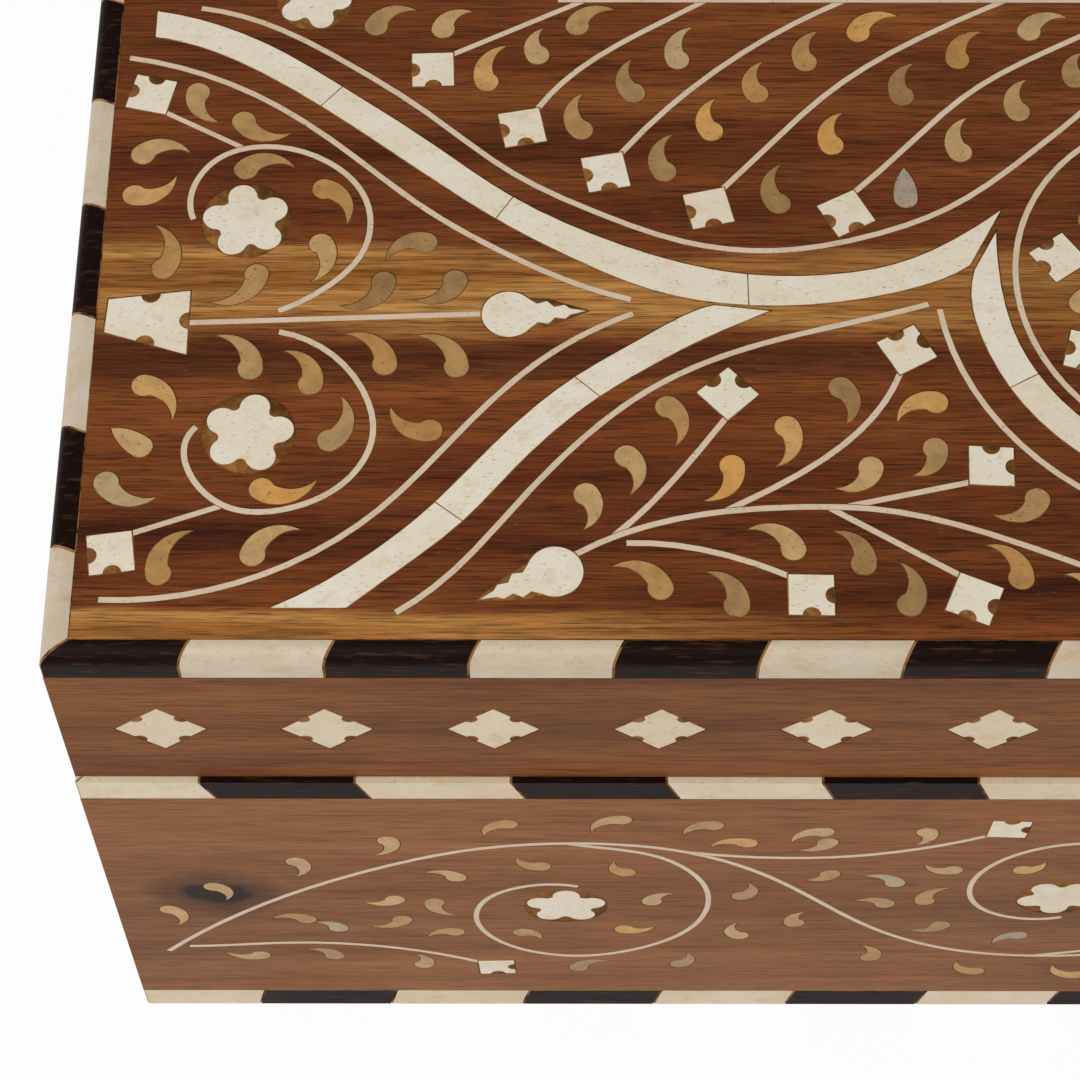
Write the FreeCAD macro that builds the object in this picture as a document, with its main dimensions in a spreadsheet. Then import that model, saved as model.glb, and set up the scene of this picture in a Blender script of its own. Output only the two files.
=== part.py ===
"""Inlaid wooden box with a hinged lid, modelled piece by piece in millimetres.

The frame has its origin under the middle of the box, +Z up and the front on the -Y side.
"""
import FreeCAD
import Part
import Sketcher
import math
import os
import re
from dataclasses import dataclass, field
from FreeCAD import Placement, Rotation, Vector

os.makedirs("parts", exist_ok=True)
doc = FreeCAD.newDocument("inlaid_box")

# Driving dimensions
SIZES = {
    "box_length": 262.0,
    "box_width": 178.0,
    "box_height": 102.0,
    "body_height": 72.0,
    "seam_gap": 0.25,
    "lid_setback": 0.7,
    "wall_thickness": 10.0,
    "lid_panel_thickness": 8.0,
    "bottom_thickness": 6.0,
    "bottom_rabbet": 5.0,
    "strip_depth": 3.0,
    "rim_height": 4.5,
    "base_height": 5.2,
    "border_width": 3.2,
    "border_width_long": 2.4,
    "border_height": 4.6,
    "border_easing": 2.0,
    "border_slant": 1.3,
    "border_end_piece": 13.5,
    "rim_end_piece": 15.0,
    "base_end_piece": 15.8,
    "rim_slant": 1.7,
    "base_slant": 1.0,
    "inlay_depth": 1.5,
    "glue_line": 0.1,
    "string_width": 0.68,
    "leaf_radius": 1.4,
    "bud_side": 5.0,
    "bud_notch": 0.95,
    "flower_radius": 5.1,
    "tulip_radius": 3.1,
    "diamond_length": 10.2,
    "diamond_notch": 0.75,
    "diamond_margin": 11.2,
    "ring_radius": 29.3,
    "ring_width": 3.8,
    "medallion_radius": 23.9,
    "hinge_spacing": 150.0,
    "hinge_length": 32.0,
    "hinge_inset": 2.3,
    "leaf_width": 7.2,
    "leaf_thickness": 1.0,
    "knuckle_diameter": 4.0,
    "knuckle_gap": 0.15,
    "pin_diameter": 1.8,
    "pin_clearance": 0.05,
    "hinge_clearance": 0.15,
    "screw_length": 9.0,
    "screw_diameter": 1.9,
    "screw_head_diameter": 3.4,
    "screw_head_height": 0.75,
    "screw_slot": 0.4,
    "screw_clearance": 0.05,
    "screw_pitch": 11.0,
    "lid_stop_angle": 51.0,
}
BORDER_PIECES_LONG = 17
BORDER_PIECES_SHORT = 12
STRIP_PIECES_LONG = 15
STRIP_PIECES_SHORT = 11
DIAMONDS_LONG = 14
DIAMONDS_SHORT = 9
KNUCKLES = 5
SCREWS_PER_LEAF = 3

# Length and width of the lid, and height of the sides' field, that the layouts below are drawn for
LAYOUT_LENGTH = 262.0
LAYOUT_WIDTH = 177.3
LAYOUT_PANEL_HEIGHT = 62.3

# Turn of each side of the box about the vertical, from the front
SIDE_TURNS = {"front": 0.0, "right": 90.0, "back": 180.0, "left": -90.0}
LONG_SIDES = ("front", "back")

# Overlap of a cutter beyond the faces it passes, and how near two equal places may lie
OVERCUT = 1
SAME_PLACE = 1e-6

sheet = doc.addObject("Spreadsheet::Sheet", "Sizes")
for row, (alias, value) in enumerate(SIZES.items(), start=1):
    sheet.set(f"A{row}", alias)
    sheet.set(f"B{row}", str(value))
    sheet.setAlias(f"B{row}", alias)
doc.recompute()

sub_parts = []


def size(alias):
    """Return one driving dimension."""
    return float(sheet.get(alias))


def formula(text):
    """Return an expression in which each driving dimension is read from the sheet."""
    return re.sub(r"[a-z_]+", lambda word: f"Sizes.{word[0]}" if word[0] in SIZES else word[0], text)


def bind(item, **expressions):
    """Bind properties of an object to expressions on the sheet."""
    for name, text in expressions.items():
        item.setExpression(name.replace("__", "."), formula(text))


def keep(item, label):
    """Give an object the name of its sub-part and put it on the list to be written."""
    item.Label = label
    sub_parts.append(item)
    return item


def origin_plane(body, role):
    """Return one of a body's own origin planes."""
    return [plane for plane in body.Origin.OriginFeatures if plane.Role == role][0]


def polygon_sketch(body, name, role, corners):
    """Sketch a closed polygon whose corners are pairs of expressions."""
    sketch = body.newObject("Sketcher::SketchObject", name)
    sketch.AttachmentSupport = [(origin_plane(body, role), "")]
    sketch.MapMode = "FlatFace"
    probe = doc.addObject("App::FeaturePython", "probe")
    spots = []
    for across, up in corners:
        spots.append(Vector(value_of(probe, across), value_of(probe, up), 0))
    doc.removeObject(probe.Name)
    count = len(spots)
    for index in range(count):
        sketch.addGeometry(Part.LineSegment(spots[index], spots[(index + 1) % count]), False)
    for index in range(count):
        sketch.addConstraint(Sketcher.Constraint("Coincident", index, 2, (index + 1) % count, 1))
    for index, (across, up) in enumerate(corners):
        for kind, text, place in (("DistanceX", across, spots[index].x), ("DistanceY", up, spots[index].y)):
            number = sketch.addConstraint(Sketcher.Constraint(kind, -1, 1, index, 1, place))
            sketch.setExpression(f"Constraints[{number}]", formula(text))
    return sketch


def value_of(probe, text):
    """Work out an expression on the sheet as a plain number."""
    return float(probe.evalExpression(formula(text)))


def prism(name, corners, run):
    """Pad a polygon of the YZ plane along X, half to each side."""
    body = doc.addObject("PartDesign::Body", name)
    pad = body.newObject("PartDesign::Pad", f"{name}_pad")
    pad.Profile = polygon_sketch(body, f"{name}_profile", "YZ_Plane", corners)
    pad.SideType = "Symmetric"
    bind(pad, Length=run)
    doc.recompute()
    return body


def mitred_board(name, run, reach, profile, depth):
    """Make a board of one profile along X, with its two ends mitred at 45 degrees.

    The profile's corners are (depth from the outer face, height). The outer face stands
    at y = -reach, and the board's outer length is run.
    """
    corners = [(f"-({reach}) + {inward}", height) for inward, height in profile]
    body = prism(name, corners, run)
    for end in ("1", "-1"):
        beyond = f"{end} * (({run}) / 2 + {OVERCUT})"
        behind = f"-({reach}) + {depth} + {OVERCUT}"
        outer = (beyond, f"-({reach}) - {OVERCUT}")
        inner = (f"{end} * (({run}) / 2 - {depth} - {OVERCUT})", behind)
        corner = (beyond, behind)
        mitre = body.newObject("PartDesign::Pocket", f"{name}_mitre")
        mitre.Profile = polygon_sketch(body, f"{name}_mitre_sketch", "XY_Plane", [outer, inner, corner])
        mitre.SideType = "Symmetric"
        mitre.Type = "ThroughAll"
        doc.recompute()
    return body


def cut(name, base, *tools):
    """Cut tools out of a base, one after another."""
    result = base
    for number, tool in enumerate(tools, start=1):
        step = doc.addObject("Part::Cut", f"{name}_cut{number}")
        step.Base = result
        step.Tool = tool
        result = step
    doc.recompute()
    return result


def fuse(name, pieces):
    """Fuse several objects into one."""
    whole = doc.addObject("Part::MultiFuse", name)
    whole.Shapes = pieces
    doc.recompute()
    return whole


def box(name, length, width, height, corner):
    """Make a bound block with its least corner at a place given by expressions."""
    block = doc.addObject("Part::Box", name)
    bind(block, Length=length, Width=width, Height=height)
    bind(block, Placement__Base__x=corner[0], Placement__Base__y=corner[1], Placement__Base__z=corner[2])
    return block


def shape_object(name, shape, placement=None):
    """Put a ready shape into the document."""
    item = doc.addObject("Part::Feature", name)
    item.Shape = shape
    item.Placement = placement or Placement()
    return item


# Inlay motifs. Each is drawn in its face's own plane, with z = 0 on the surface, and is sunk
# by the inlay depth. Its recess in the wood is its outline, or a plain shape round it, wider by
# the glue line.
def sunk(outline):
    """Return the solid under a closed outline, sunk from the surface."""
    return Part.Face(Part.Wire(outline)).extrude(Vector(0, 0, -size("inlay_depth")))


def line(start, end):
    """Return a straight edge."""
    return Part.LineSegment(start, end).toShape()


def arc(start, middle, end):
    """Return an arc through three points."""
    return Part.Arc(start, middle, end).toShape()


def closed_polygon(corners):
    """Return the edges of a closed polygon."""
    return [line(corner, corners[(index + 1) % len(corners)]) for index, corner in enumerate(corners)]


def polar(radius, degrees):
    """Return the point at a radius and an angle from +x."""
    turn = math.radians(degrees)
    return Vector(radius * math.cos(turn), radius * math.sin(turn), 0)


def square_to(line_way, side_way):
    """Return the unit vector square to one direction, on the side of another."""
    square = Vector(-line_way.y, line_way.x, 0).normalize()
    return square if square.dot(side_way) > 0 else square * -1


def smooth_curve(points):
    """Return a curve that runs smoothly through points."""
    curve = Part.BSplineCurve()
    curve.interpolate(points)
    return curve


def bore(centre, radius):
    """Return a round cutter through the depth of an inlay."""
    depth = size("inlay_depth")
    return Part.makeCylinder(radius, 3 * depth, centre + Vector(0, 0, -2 * depth))


@dataclass
class Leaf:
    """A comma leaf: a round head, a full back and a tail that leaves a notch under the head.

    bend is 1 if the back bulges to the left on the way from head to tip, -1 to the right,
    and 0 for a straight drop.
    """

    head: Vector
    tip: Vector
    bend: int
    scale: float = 1.0

    # Angles round the head from the way to the tip, and bulges as shares of each arc's chord
    BACK_TURN = 130.0
    NOTCH_TURN = -10.0
    BACK_BULGE = 0.25
    HOLLOW_BULGE = 0.17
    DROP_TURN = 105.0
    DROP_BULGE = 0.1

    def outline(self):
        axis = (self.tip - self.head).normalize()
        side = Vector(-axis.y, axis.x, 0) * (self.bend or 1)
        radius = size("leaf_radius") * self.scale

        def on_head(degrees):
            place = polar(radius, degrees)
            return self.head + axis * place.x + side * place.y

        def bulged(start, end, share):
            return arc(start, (start + end) * 0.5 + side * start.distanceToPoint(end) * share, end)

        if self.bend:
            back_turn, notch_turn = self.BACK_TURN, self.NOTCH_TURN
            back_share, tail_share = self.BACK_BULGE, self.HOLLOW_BULGE
        else:
            back_turn, notch_turn = self.DROP_TURN, -self.DROP_TURN
            back_share, tail_share = self.DROP_BULGE, -self.DROP_BULGE
        back = on_head(back_turn)
        notch = on_head(notch_turn)
        middle = on_head((back_turn + notch_turn) / 2 + 180)
        tail = [bulged(back, self.tip, back_share), bulged(self.tip, notch, tail_share)]
        return tail + [arc(notch, middle, back)]

    def solid(self):
        return sunk(self.outline())

    def recess(self):
        wider = Part.Wire(self.outline()).makeOffset2D(size("glue_line"))
        return sunk(wider.Edges)


@dataclass
class Bud:
    """A square bud whose stem meets one corner, with a round notch in each of the two far sides."""

    centre: Vector
    stem_turn: float
    scale: float = 1.0

    def square(self, grow):
        half = size("bud_side") * self.scale / 2 + grow
        reach = half * math.sqrt(2)
        return sunk(closed_polygon([self.centre + polar(reach, self.stem_turn + 90 * k) for k in range(4)]))

    def solid(self):
        half = size("bud_side") * self.scale / 2
        notch = size("bud_notch") * self.scale
        notches = [bore(self.centre + polar(half, self.stem_turn + turn), notch) for turn in (135, 225)]
        return self.square(0.0).cut(notches)

    def recess(self):
        return self.square(size("glue_line"))


@dataclass
class Diamond:
    """A diamond with a round notch in the middle of each side."""

    centre: Vector
    scale: float = 1.0

    def rhombus(self, grow):
        reach = size("diamond_length") * self.scale / 2 + grow
        return sunk(closed_polygon([self.centre + polar(reach, 90 * k) for k in range(4)]))

    def solid(self):
        reach = size("diamond_length") * self.scale / 2 * math.sqrt(0.5)
        notch = size("diamond_notch") * self.scale
        notches = [bore(self.centre + polar(reach, 45 + 90 * k), notch) for k in range(4)]
        return self.rhombus(0.0).cut(notches)

    def recess(self):
        return self.rhombus(size("glue_line") * math.sqrt(2))


@dataclass
class Flower:
    """A flower of round petals with round valleys between them, in a round recess."""

    centre: Vector
    turn: float = 90.0
    scale: float = 1.0
    petals: int = 5

    # Radius of the circle through the petals' centres and of a valley, in flower radii
    SPREAD = 0.66
    VALLEY = 0.12

    def solid(self):
        radius = size("flower_radius") * self.scale
        spread = self.SPREAD * radius
        petal = radius - spread
        valley = self.VALLEY * radius
        half_turn = 180 / self.petals
        across = spread * math.sin(math.radians(half_turn))
        reach = spread * math.cos(math.radians(half_turn)) + math.sqrt((petal + valley) ** 2 - across ** 2)
        share = petal / (petal + valley)
        edges = []
        for k in range(self.petals):
            turn = self.turn + 2 * half_turn * k
            middle, following = [self.centre + polar(spread, turn + 2 * half_turn * n) for n in (0, 1)]
            near_dip, far_dip = [self.centre + polar(reach, turn + half_turn * n) for n in (-1, 1)]
            before = middle + (near_dip - middle) * share
            after = middle + (far_dip - middle) * share
            ahead = following + (far_dip - following) * share
            edges.append(arc(before, self.centre + polar(radius, turn), after))
            edges.append(arc(after, self.centre + polar(reach - valley, turn + half_turn), ahead))
        return sunk(edges)

    def recess(self):
        ring = Part.makeCircle(size("flower_radius") * self.scale + size("glue_line"), self.centre)
        return sunk([ring])


@dataclass
class Tulip:
    """A round bulb with a stepped spire along its axis."""

    centre: Vector
    turn: float
    scale: float = 1.0

    # Half outline of the spire, in bulb radii along and across the axis
    SPIRE = ((1.05, 0.42), (1.42, 0.52), (1.68, 0.25), (2.05, 0.32), (2.25, 0.15), (2.9, 0.0))
    SHOULDER = 42.0
    # Widest point and tip of the plain spire of its recess, in bulb radii
    RECESS_WAIST = (1.45, 0.58)
    RECESS_TIP = 2.95

    def outline(self, radius, spire):
        shoulder = polar(radius, self.SHOULDER)
        upper = [shoulder] + spire
        lower = [Vector(point.x, -point.y, 0) for point in reversed(upper[:-1])]
        corners = upper + lower
        edges = [line(corners[k], corners[k + 1]) for k in range(len(corners) - 1)]
        edges.append(arc(corners[-1], Vector(-radius, 0, 0), corners[0]))
        return edges

    def placed(self, solid):
        return solid.transformed(Placement(self.centre, Rotation(Vector(0, 0, 1), self.turn)).Matrix)

    def solid(self):
        radius = size("tulip_radius") * self.scale
        spire = [Vector(along * radius, across * radius, 0) for along, across in self.SPIRE]
        return self.placed(sunk(self.outline(radius, spire)))

    def recess(self):
        radius = size("tulip_radius") * self.scale
        grow = size("glue_line")
        along, across = self.RECESS_WAIST
        waist = Vector(along * radius, across * radius + grow, 0)
        tip = Vector(self.RECESS_TIP * radius + 2 * grow, 0, 0)
        return self.placed(sunk(self.outline(radius + grow, [waist, tip])))


@dataclass
class Crown:
    """A flared four-sided plate with round notches in three of its sides."""

    corners: list
    notches: list
    scale: float = 1.0

    # Radius of a notch, in radii of a bud's notch
    NOTCH = 1.1

    def solid(self):
        notch = self.NOTCH * size("bud_notch") * self.scale
        return sunk(closed_polygon(self.corners)).cut([bore(centre, notch) for centre in self.notches])

    def recess(self):
        middle = Vector()
        for corner in self.corners:
            middle += corner * (1 / len(self.corners))
        wider = []
        for corner in self.corners:
            out = corner - middle
            step = Vector(math.copysign(1, out.x), math.copysign(1, out.y), 0)
            wider.append(corner + step * size("glue_line"))
        return sunk(closed_polygon(wider))


@dataclass
class Strand:
    """A thin strip let in along a smooth line, cut off where it meets other motifs."""

    points: list
    meets: list = field(default_factory=list)

    def strip(self, grow):
        half = size("string_width") / 2 + grow
        spine = smooth_curve(self.points)
        knots = spine.getKnots()
        edges = {1: [], -1: []}
        for index, knot in enumerate(knots):
            along = spine.tangent(knot)[0]
            across = Vector(-along.y, along.x, 0)
            ahead = {0: -grow, len(knots) - 1: grow}.get(index, 0.0)
            for side in edges:
                edges[side].append(spine.value(knot) + across * side * half + along * ahead)
        return strip_between(edges[1], edges[-1])

    def solid(self):
        whole = self.strip(0.0)
        for other in self.meets:
            room = other.strip(size("glue_line")) if isinstance(other, Strand) else other.recess()
            if whole.BoundBox.intersect(room.BoundBox):
                whole = max(whole.cut(room).Solids, key=lambda piece: piece.Volume)
        return whole

    def recess(self):
        return self.strip(size("glue_line") / 2)


@dataclass
class Hoop:
    """A thin strip let in round a full circle or along an arc of it."""

    centre: Vector
    radius: float
    start: float = 0.0
    end: float = 360.0

    def solid(self, grow=0.0):
        half = size("string_width") / 2 + grow
        if self.end - self.start >= 360:
            outer = sunk([Part.makeCircle(self.radius + half, self.centre)])
            return outer.cut(sunk([Part.makeCircle(self.radius - half, self.centre)]))
        slack = math.degrees(grow / self.radius)
        return sunk(sector(self.centre, self.radius - half, self.radius + half,
                           self.start - slack, self.end + slack))

    def recess(self):
        return self.solid(size("glue_line") / 2)


def sector(centre, inner, outer, start, end):
    """Return the edges of a ring sector."""
    middle = (start + end) / 2
    a, b, c = [centre + polar(outer, turn) for turn in (start, middle, end)]
    d, e, f = [centre + polar(inner, turn) for turn in (end, middle, start)]
    return [arc(a, b, c), line(c, d), arc(d, e, f), line(f, a)]


def strip_between(left, right):
    """Return the sunk strip between two smooth edges."""
    edges = [smooth_curve(left).toShape(), line(left[-1], right[-1])]
    edges += [smooth_curve(right).toShape(), line(right[0], left[0])]
    return sunk(edges)


@dataclass
class Band:
    """A broad strip between two smooth edges, sawn across into segments at its joints.

    Each station is a pair of points, one on each edge. joints are station numbers.
    """

    stations: list
    joints: tuple

    def segments(self):
        left = smooth_curve([pair[0] for pair in self.stations])
        right = smooth_curve([pair[1] for pair in self.stations])
        stops = (0,) + self.joints + (len(self.stations) - 1,)
        pieces = []
        for first, last in zip(stops, stops[1:]):
            edges = []
            for curve in (left, right):
                knots = curve.getKnots()
                edges.append(curve.toShape(knots[first], knots[last]))
            edges += [line(*self.stations[first]), line(*self.stations[last])]
            pieces.append(sunk(Part.sortEdges(edges)[0]))
        return pieces

    def wider_edge(self, own, other):
        """Return points along one edge, moved out by the glue line, with mitred ends."""
        grow = size("glue_line")
        curve = smooth_curve([pair[own] for pair in self.stations])
        last = len(self.stations) - 1
        points = []
        for index, (pair, knot) in enumerate(zip(self.stations, curve.getKnots())):
            along = curve.tangent(knot)[0]
            across = pair[own] - pair[other]
            out = square_to(along, across)
            if index in (0, last):
                end = square_to(across, along if index else along * -1)
                out = (out + end) * (1 / (1 + out.dot(end)))
            points.append(pair[own] + out * grow)
        return points

    def recess(self):
        return strip_between(self.wider_edge(0, 1), self.wider_edge(1, 0))


# Layout of one quarter of the lid, in millimetres from its front left corner.
# Leaves are head, tip and bend; buds are centre and the turn of the stem's corner.
LID_CENTRE = (131.0, 88.3)
MEDALLION_CENTRE = (131.0, 47.7)
LID_STRINGS = [
    [(12.5, 87.0), (20, 84.8), (30, 78.9), (40, 71.3), (50, 62.7), (60, 57), (70, 53), (80, 51.9),
     (90, 53.7), (100, 57.8), (110, 65.5), (120, 75), (128, 85.2)],
    [(4.4, 79.5), (10, 78.2), (20, 73.8), (30, 66.4), (40, 57.6), (50, 51), (58, 47), (63.4, 45.2)],
    [(6, 6.7), (15, 7.3), (25, 10.5), (35, 17.2), (45, 28.6), (53.5, 37.3), (60, 41.6), (63.6, 43.3)],
    [(37.8, 5.2), (45, 11.5), (51, 19), (58, 27), (65, 33), (75, 38.2), (85, 41.3), (97, 44.6)],
    [(13.3, 42), (30, 42.3), (46.9, 43.25)],
    [(23.6, 43.6), (29, 46.9), (33.2, 52.5), (32.8, 59.5), (28, 64.6), (22, 66.5), (16, 65), (12.9, 60),
     (13.3, 56.2)],
    [(8.85, 71.6), (12, 68.4), (18.9, 66.1)],
    [(23.8, 40.8), (29, 38.5), (33.4, 33.2), (34.7, 27), (32.3, 21.8), (26, 18), (19.5, 18), (15, 22),
     (14.1, 26.2), (15.2, 28.3)],
    [(8.65, 14.7), (12, 16.9), (18.6, 18.3)],
    [(57, 12.3), (63, 15.2), (71, 17.3), (81, 18.2), (90, 17.9), (100, 15.5), (111, 11.2), (119, 8.1),
     (127.9, 6.95)],
    [(60.7, 14.2), (66, 19.5), (70, 24.5), (73.9, 29.8)],
    [(73.2, 17.65), (80, 21.4), (87.5, 27), (93.4, 35.7)],
    [(86, 18.15), (90.5, 19.75), (100.4, 21.4)],
    [(84.6, 18.1), (90, 14.9), (98.5, 9.6)],
    [(62.5, 13.7), (68, 13.4), (74, 12), (80.2, 9.5)],
    [(42.4, 79.9), (48, 84.3), (58.5, 88.3)],
    [(52.6, 71.7), (59, 79), (65, 83.3), (73, 88.3)],
    [(62.3, 65.3), (69.5, 73.6), (78, 81), (89.7, 88.3)],
    [(74, 60.3), (80, 67), (88, 75.3), (98, 82.4), (109, 88.3)],
    [(89.2, 59.9), (96, 66.8), (104, 74.7), (114, 81), (127.1, 88.3)],
]
# Strings of the list above that end on another one, by their places in it
LID_MEETINGS = ((6, 5), (8, 7), (10, 9), (11, 9), (12, 9), (13, 9))
AXIS_STEM = [(55.2, 88.3), (131, 88.3), (206.8, 88.3)]
SPANDREL_STEM = [(131, 80.2), (131, 84), (131, 88.3)]
LID_LEAVES = [
    (20.8, 35.9, 16.8, 40.3, -1), (27.6, 33.9, 24.5, 38.3, -1), (35.8, 36.5, 31.2, 40.5, -1),
    (43.8, 36.2, 39.3, 40.3, -1), (9.1, 33.7, 12.5, 29.2, 1), (9.2, 25.8, 5.8, 28.2, 0),
    (5.8, 21.2, 11.5, 19.4, -1), (12.2, 9.9, 15.7, 15.2, 1), (22.2, 12.2, 27.3, 15.3, 1),
    (22.8, 20.4, 28.8, 21.6, -1), (30, 26.6, 31, 32.4, -1), (41, 27.9, 36.6, 31, 1),
    (12.8, 74.4, 15.5, 70.1, -1), (18.4, 70.2, 24, 68.5, -1), (6.9, 65.4, 12.4, 65.6, 1),
    (6.3, 59.6, 11, 62.4, -1), (10.3, 49.4, 9, 55.4, -1), (20.9, 48.6, 15.8, 44.8, 1),
    (28.1, 52.8, 27.2, 47.6, 1), (28.2, 60.5, 30.9, 55.5, 1), (19, 63.3, 24.6, 63.6, 1),
    (40, 53, 35.6, 50.4, -1), (35.4, 47.6, 30.6, 44.3, 1), (43.5, 47.8, 38.9, 45.2, 1),
    (62.7, 24.6, 63, 19.8, 1), (58.2, 19.8, 57.8, 15.3, 1), (67.3, 31, 68, 25.9, 1),
    (80.4, 28.4, 79, 23.3, 1), (74.2, 23.4, 71, 19, 1), (66.1, 8.2, 60.9, 10.8, -1),
    (80.5, 13, 75.6, 15.4, -1), (74.2, 6.1, 71, 10.2, -1), (86.6, 33.5, 86.8, 28.6, 1),
    (97, 31.6, 92.6, 28.9, -1), (96.6, 25.6, 93.8, 22.2, 1), (89.4, 23.2, 85.4, 20.6, 1),
    (88, 11.2, 85, 15.2, -1), (92.7, 6.2, 91.8, 11.4, -1), (104.8, 9.5, 101.3, 13.5, -1),
    (107.3, 19.2, 102.4, 17.3, 1), (113.2, 6.2, 109.4, 9.9, -1), (119.2, 12.4, 114, 12.3, 1),
    (33.5, 84.3, 38.3, 86.7, 1), (41.5, 83.9, 45, 86.5, 1), (46.8, 76, 49.2, 81.4, 1),
    (52.8, 80, 53.5, 84, 1), (57.5, 84.4, 62, 86.8, 1), (57.9, 69, 58.2, 74.4, 1),
    (64.1, 74.4, 64, 79.4, 1), (69.4, 79.3, 71.3, 84.2, 1), (67.5, 63, 68.5, 68.3, 1),
    (73.1, 68.8, 73.8, 73.6, 1), (78.6, 74.3, 79.5, 79, 1), (84.5, 79, 86.3, 83.6, 1),
    (91, 83.4, 96, 85.8, 1), (80.6, 58.5, 81, 64, 1), (87.1, 66.8, 88.6, 71.5, 1),
    (95.7, 74, 97.4, 78.8, 1), (102.6, 79.4, 105.9, 83.5, 1), (95.3, 59.3, 95.3, 63.6, 0),
    (102, 65.8, 103.2, 70.8, 1), (109.2, 71.7, 110.6, 76.4, 1), (111.4, 83.6, 116.2, 85.6, 1),
    (116.3, 76.6, 117.5, 80.4, 1),
]
LID_BUDS = [
    (6.9, 12.4, 53), (7.3, 74.1, -58), (74, 32.7, -92), (94.2, 38.5, -106), (102.6, 23.4, -138),
    (99.6, 6.9, 112), (82.2, 7.4, 134), (40.4, 77.8, 47), (51, 69.3, 56), (60.7, 62.9, 56),
    (72.5, 57.8, 58), (88.3, 57.1, 73),
]
LID_FLOWERS = [(19.4, 56, 100), (21, 27.5, 80)]
LID_TULIPS = [(49.6, 43.2, 3), (54.8, 10.2, 203)]
CROWN_CORNERS = [(4.3, 45.2), (13.6, 46.4), (13.6, 37.7), (4.1, 40.7)]
CROWN_NOTCHES = [(9.1, 45.8), (13.6, 42.3), (8.8, 39.2)]
# Stations across each bone band, upper or left edge first
BAND_SIDE = [
    ((7.2, 86.6), (7.2, 82.6)), ((14.2, 84.7), (12.8, 81.1)), ((21.2, 81.3), (19.2, 77.9)),
    ((29.8, 75.3), (27.3, 72.4)), ((39.8, 67.6), (37.5, 64.4)), ((50, 59.4), (48, 56.3)),
    ((58.9, 54.3), (57.2, 50.6)), ((67.8, 50.7), (66.6, 46.2)), ((76.7, 48.7), (76.7, 44.4)),
    ((85.3, 48.6), (85.8, 44.7)), ((93.8, 50.2), (95.3, 46.7)), ((100.6, 53.6), (100.6, 48.9)),
    ((106.3, 57.8), (102.1, 49.9)),
]
BAND_SIDE_JOINTS = (3, 5, 8)
BAND_FRONT = [
    ((24.2, 5.7), (32.5, 5.7)), ((32, 10.3), (37, 9.5)), ((41.7, 18.8), (44.8, 16.4)),
    ((47.6, 25.7), (50.6, 23.3)), ((57, 34.9), (59.8, 32.3)), ((63.4, 39.3), (65.4, 36.2)),
    ((69, 42.9), (71.5, 39.9)), ((71.2, 44), (75, 41.7)), ((72.8, 44.5), (79.2, 43.7)),
]
BAND_FRONT_JOINTS = (2, 4)
RING_CAP = ((102.5, 49.3), (105.4, 54.7))
RING_TURNS = (187, 197, 209, 229, 250, 270, 290, 311, 331, 343, 353)
RING_JOINTS = (3, 5, 7, 9)
# Thin arc round the outside of each ring: its distance from the ring's outer edge and its turns
OUTER_ARC_GAP = 3.7
OUTER_ARC_TURNS = (186.6, 353.4)
# Rosette inside each medallion: the radii of its buds, their stems and the leaves between
ROSETTE_BUDS = 9
ROSETTE_BUD_RADIUS = 19.0
ROSETTE_STEM = (6.6, 11.2, 15.1)
ROSETTE_LEAF = (17.0, 11.4)
SPANDREL_BUD = (131.0, 77.2, 90)
FRONT_BUD = (131.0, 7.0, 180)
END_FLOWER = (26.0, 88.3, 0)
END_FLOWER_SCALE = 0.88

# Layout of one turn of the vine on the sides, in millimetres from the flower of that turn along
# the side and from the middle of the side's field upwards. Every second turn is upside down.
VINE_PITCH = 61.1
VINE_FIRST_FLOWER = 56.4
VINE_PEAK = 1.1
VINE_HALF_WAVE = [(0, 18.3), (12.5, 16), (22.5, 9.3), (30.55, 0), (38.6, -9.3), (48.6, -16)]
VINE_START = [(5, -16.9), (15.4, -4.1), (25, 4.7), (35, 11.6), (45, 16.4)]
VINE_SPIRAL = [
    (0, 18.2), (5.2, 16.7), (10, 14.9), (14.2, 11), (17, 5.3), (17.7, -1.7), (15.4, -9.7), (8.6, -16.4),
    (1.5, -18.5), (-5.5, -16.2), (-10, -10.8), (-11.3, -4.5), (-8.9, 2.2), (-3.5, 5.4), (1.4, 4.9),
]
VINE_BRANCH = [(-42.3, -14.7), (-36, -14), (-29, -14.2), (-21, -16), (-10.6, -21.1)]
VINE_LEAD = (-47.5, -15.9)
VINE_FIRST_LEAD = (-48.5, -15.2)
VINE_FLOWER = (0, -1.5, 90)
VINE_BUD = (-8.9, -22.6, 138)
VINE_LEAVES = [
    (-21.4, 19, -23.2, 14.6, 1), (-7.1, 23.9, -9.8, 20.3, -1),
    (6.3, 25.2, 2.9, 21.6, -1), (17.2, 23.6, 13.8, 20.7, -1), (-3.2, 11.2, -6, 14.2, 1),
    (7.2, 9.4, 5.9, 12.8, 1), (-13.5, 7.7, -17.3, 9.2, -1), (-21.3, 0.6, -25.2, -0.2, 1),
    (-16.4, -0.3, -13.6, -4.6, -1), (-20.7, -6.1, -24.8, -8.2, 1), (-28.9, -8.9, -31.8, -7.2, -1),
    (-14.1, -10.2, -17.6, -12, -1), (-39.6, -18.4, -44, -17.3, 1), (-30, -18.6, -33.4, -16.4, -1),
    (-18.5, -21.7, -19.6, -17.9, -1), (-5.5, -10.3, -3.2, -12.8, 1), (7.5, -9.2, 11.3, -8.2, -1),
    (10.7, 0.1, 13.4, 2.6, 1), (21.8, 1.9, 22.2, 6.2, -1), (29, -7, 30.2, -3.3, 1),
    (22.2, -11.3, 21.8, -7, 1), (1.8, -22.8, 6, -20.4, 1), (15, -21.3, 15.7, -17.4, -1),
    (30.4, 21.7, 26.8, 18.6, -1),
]
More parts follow.
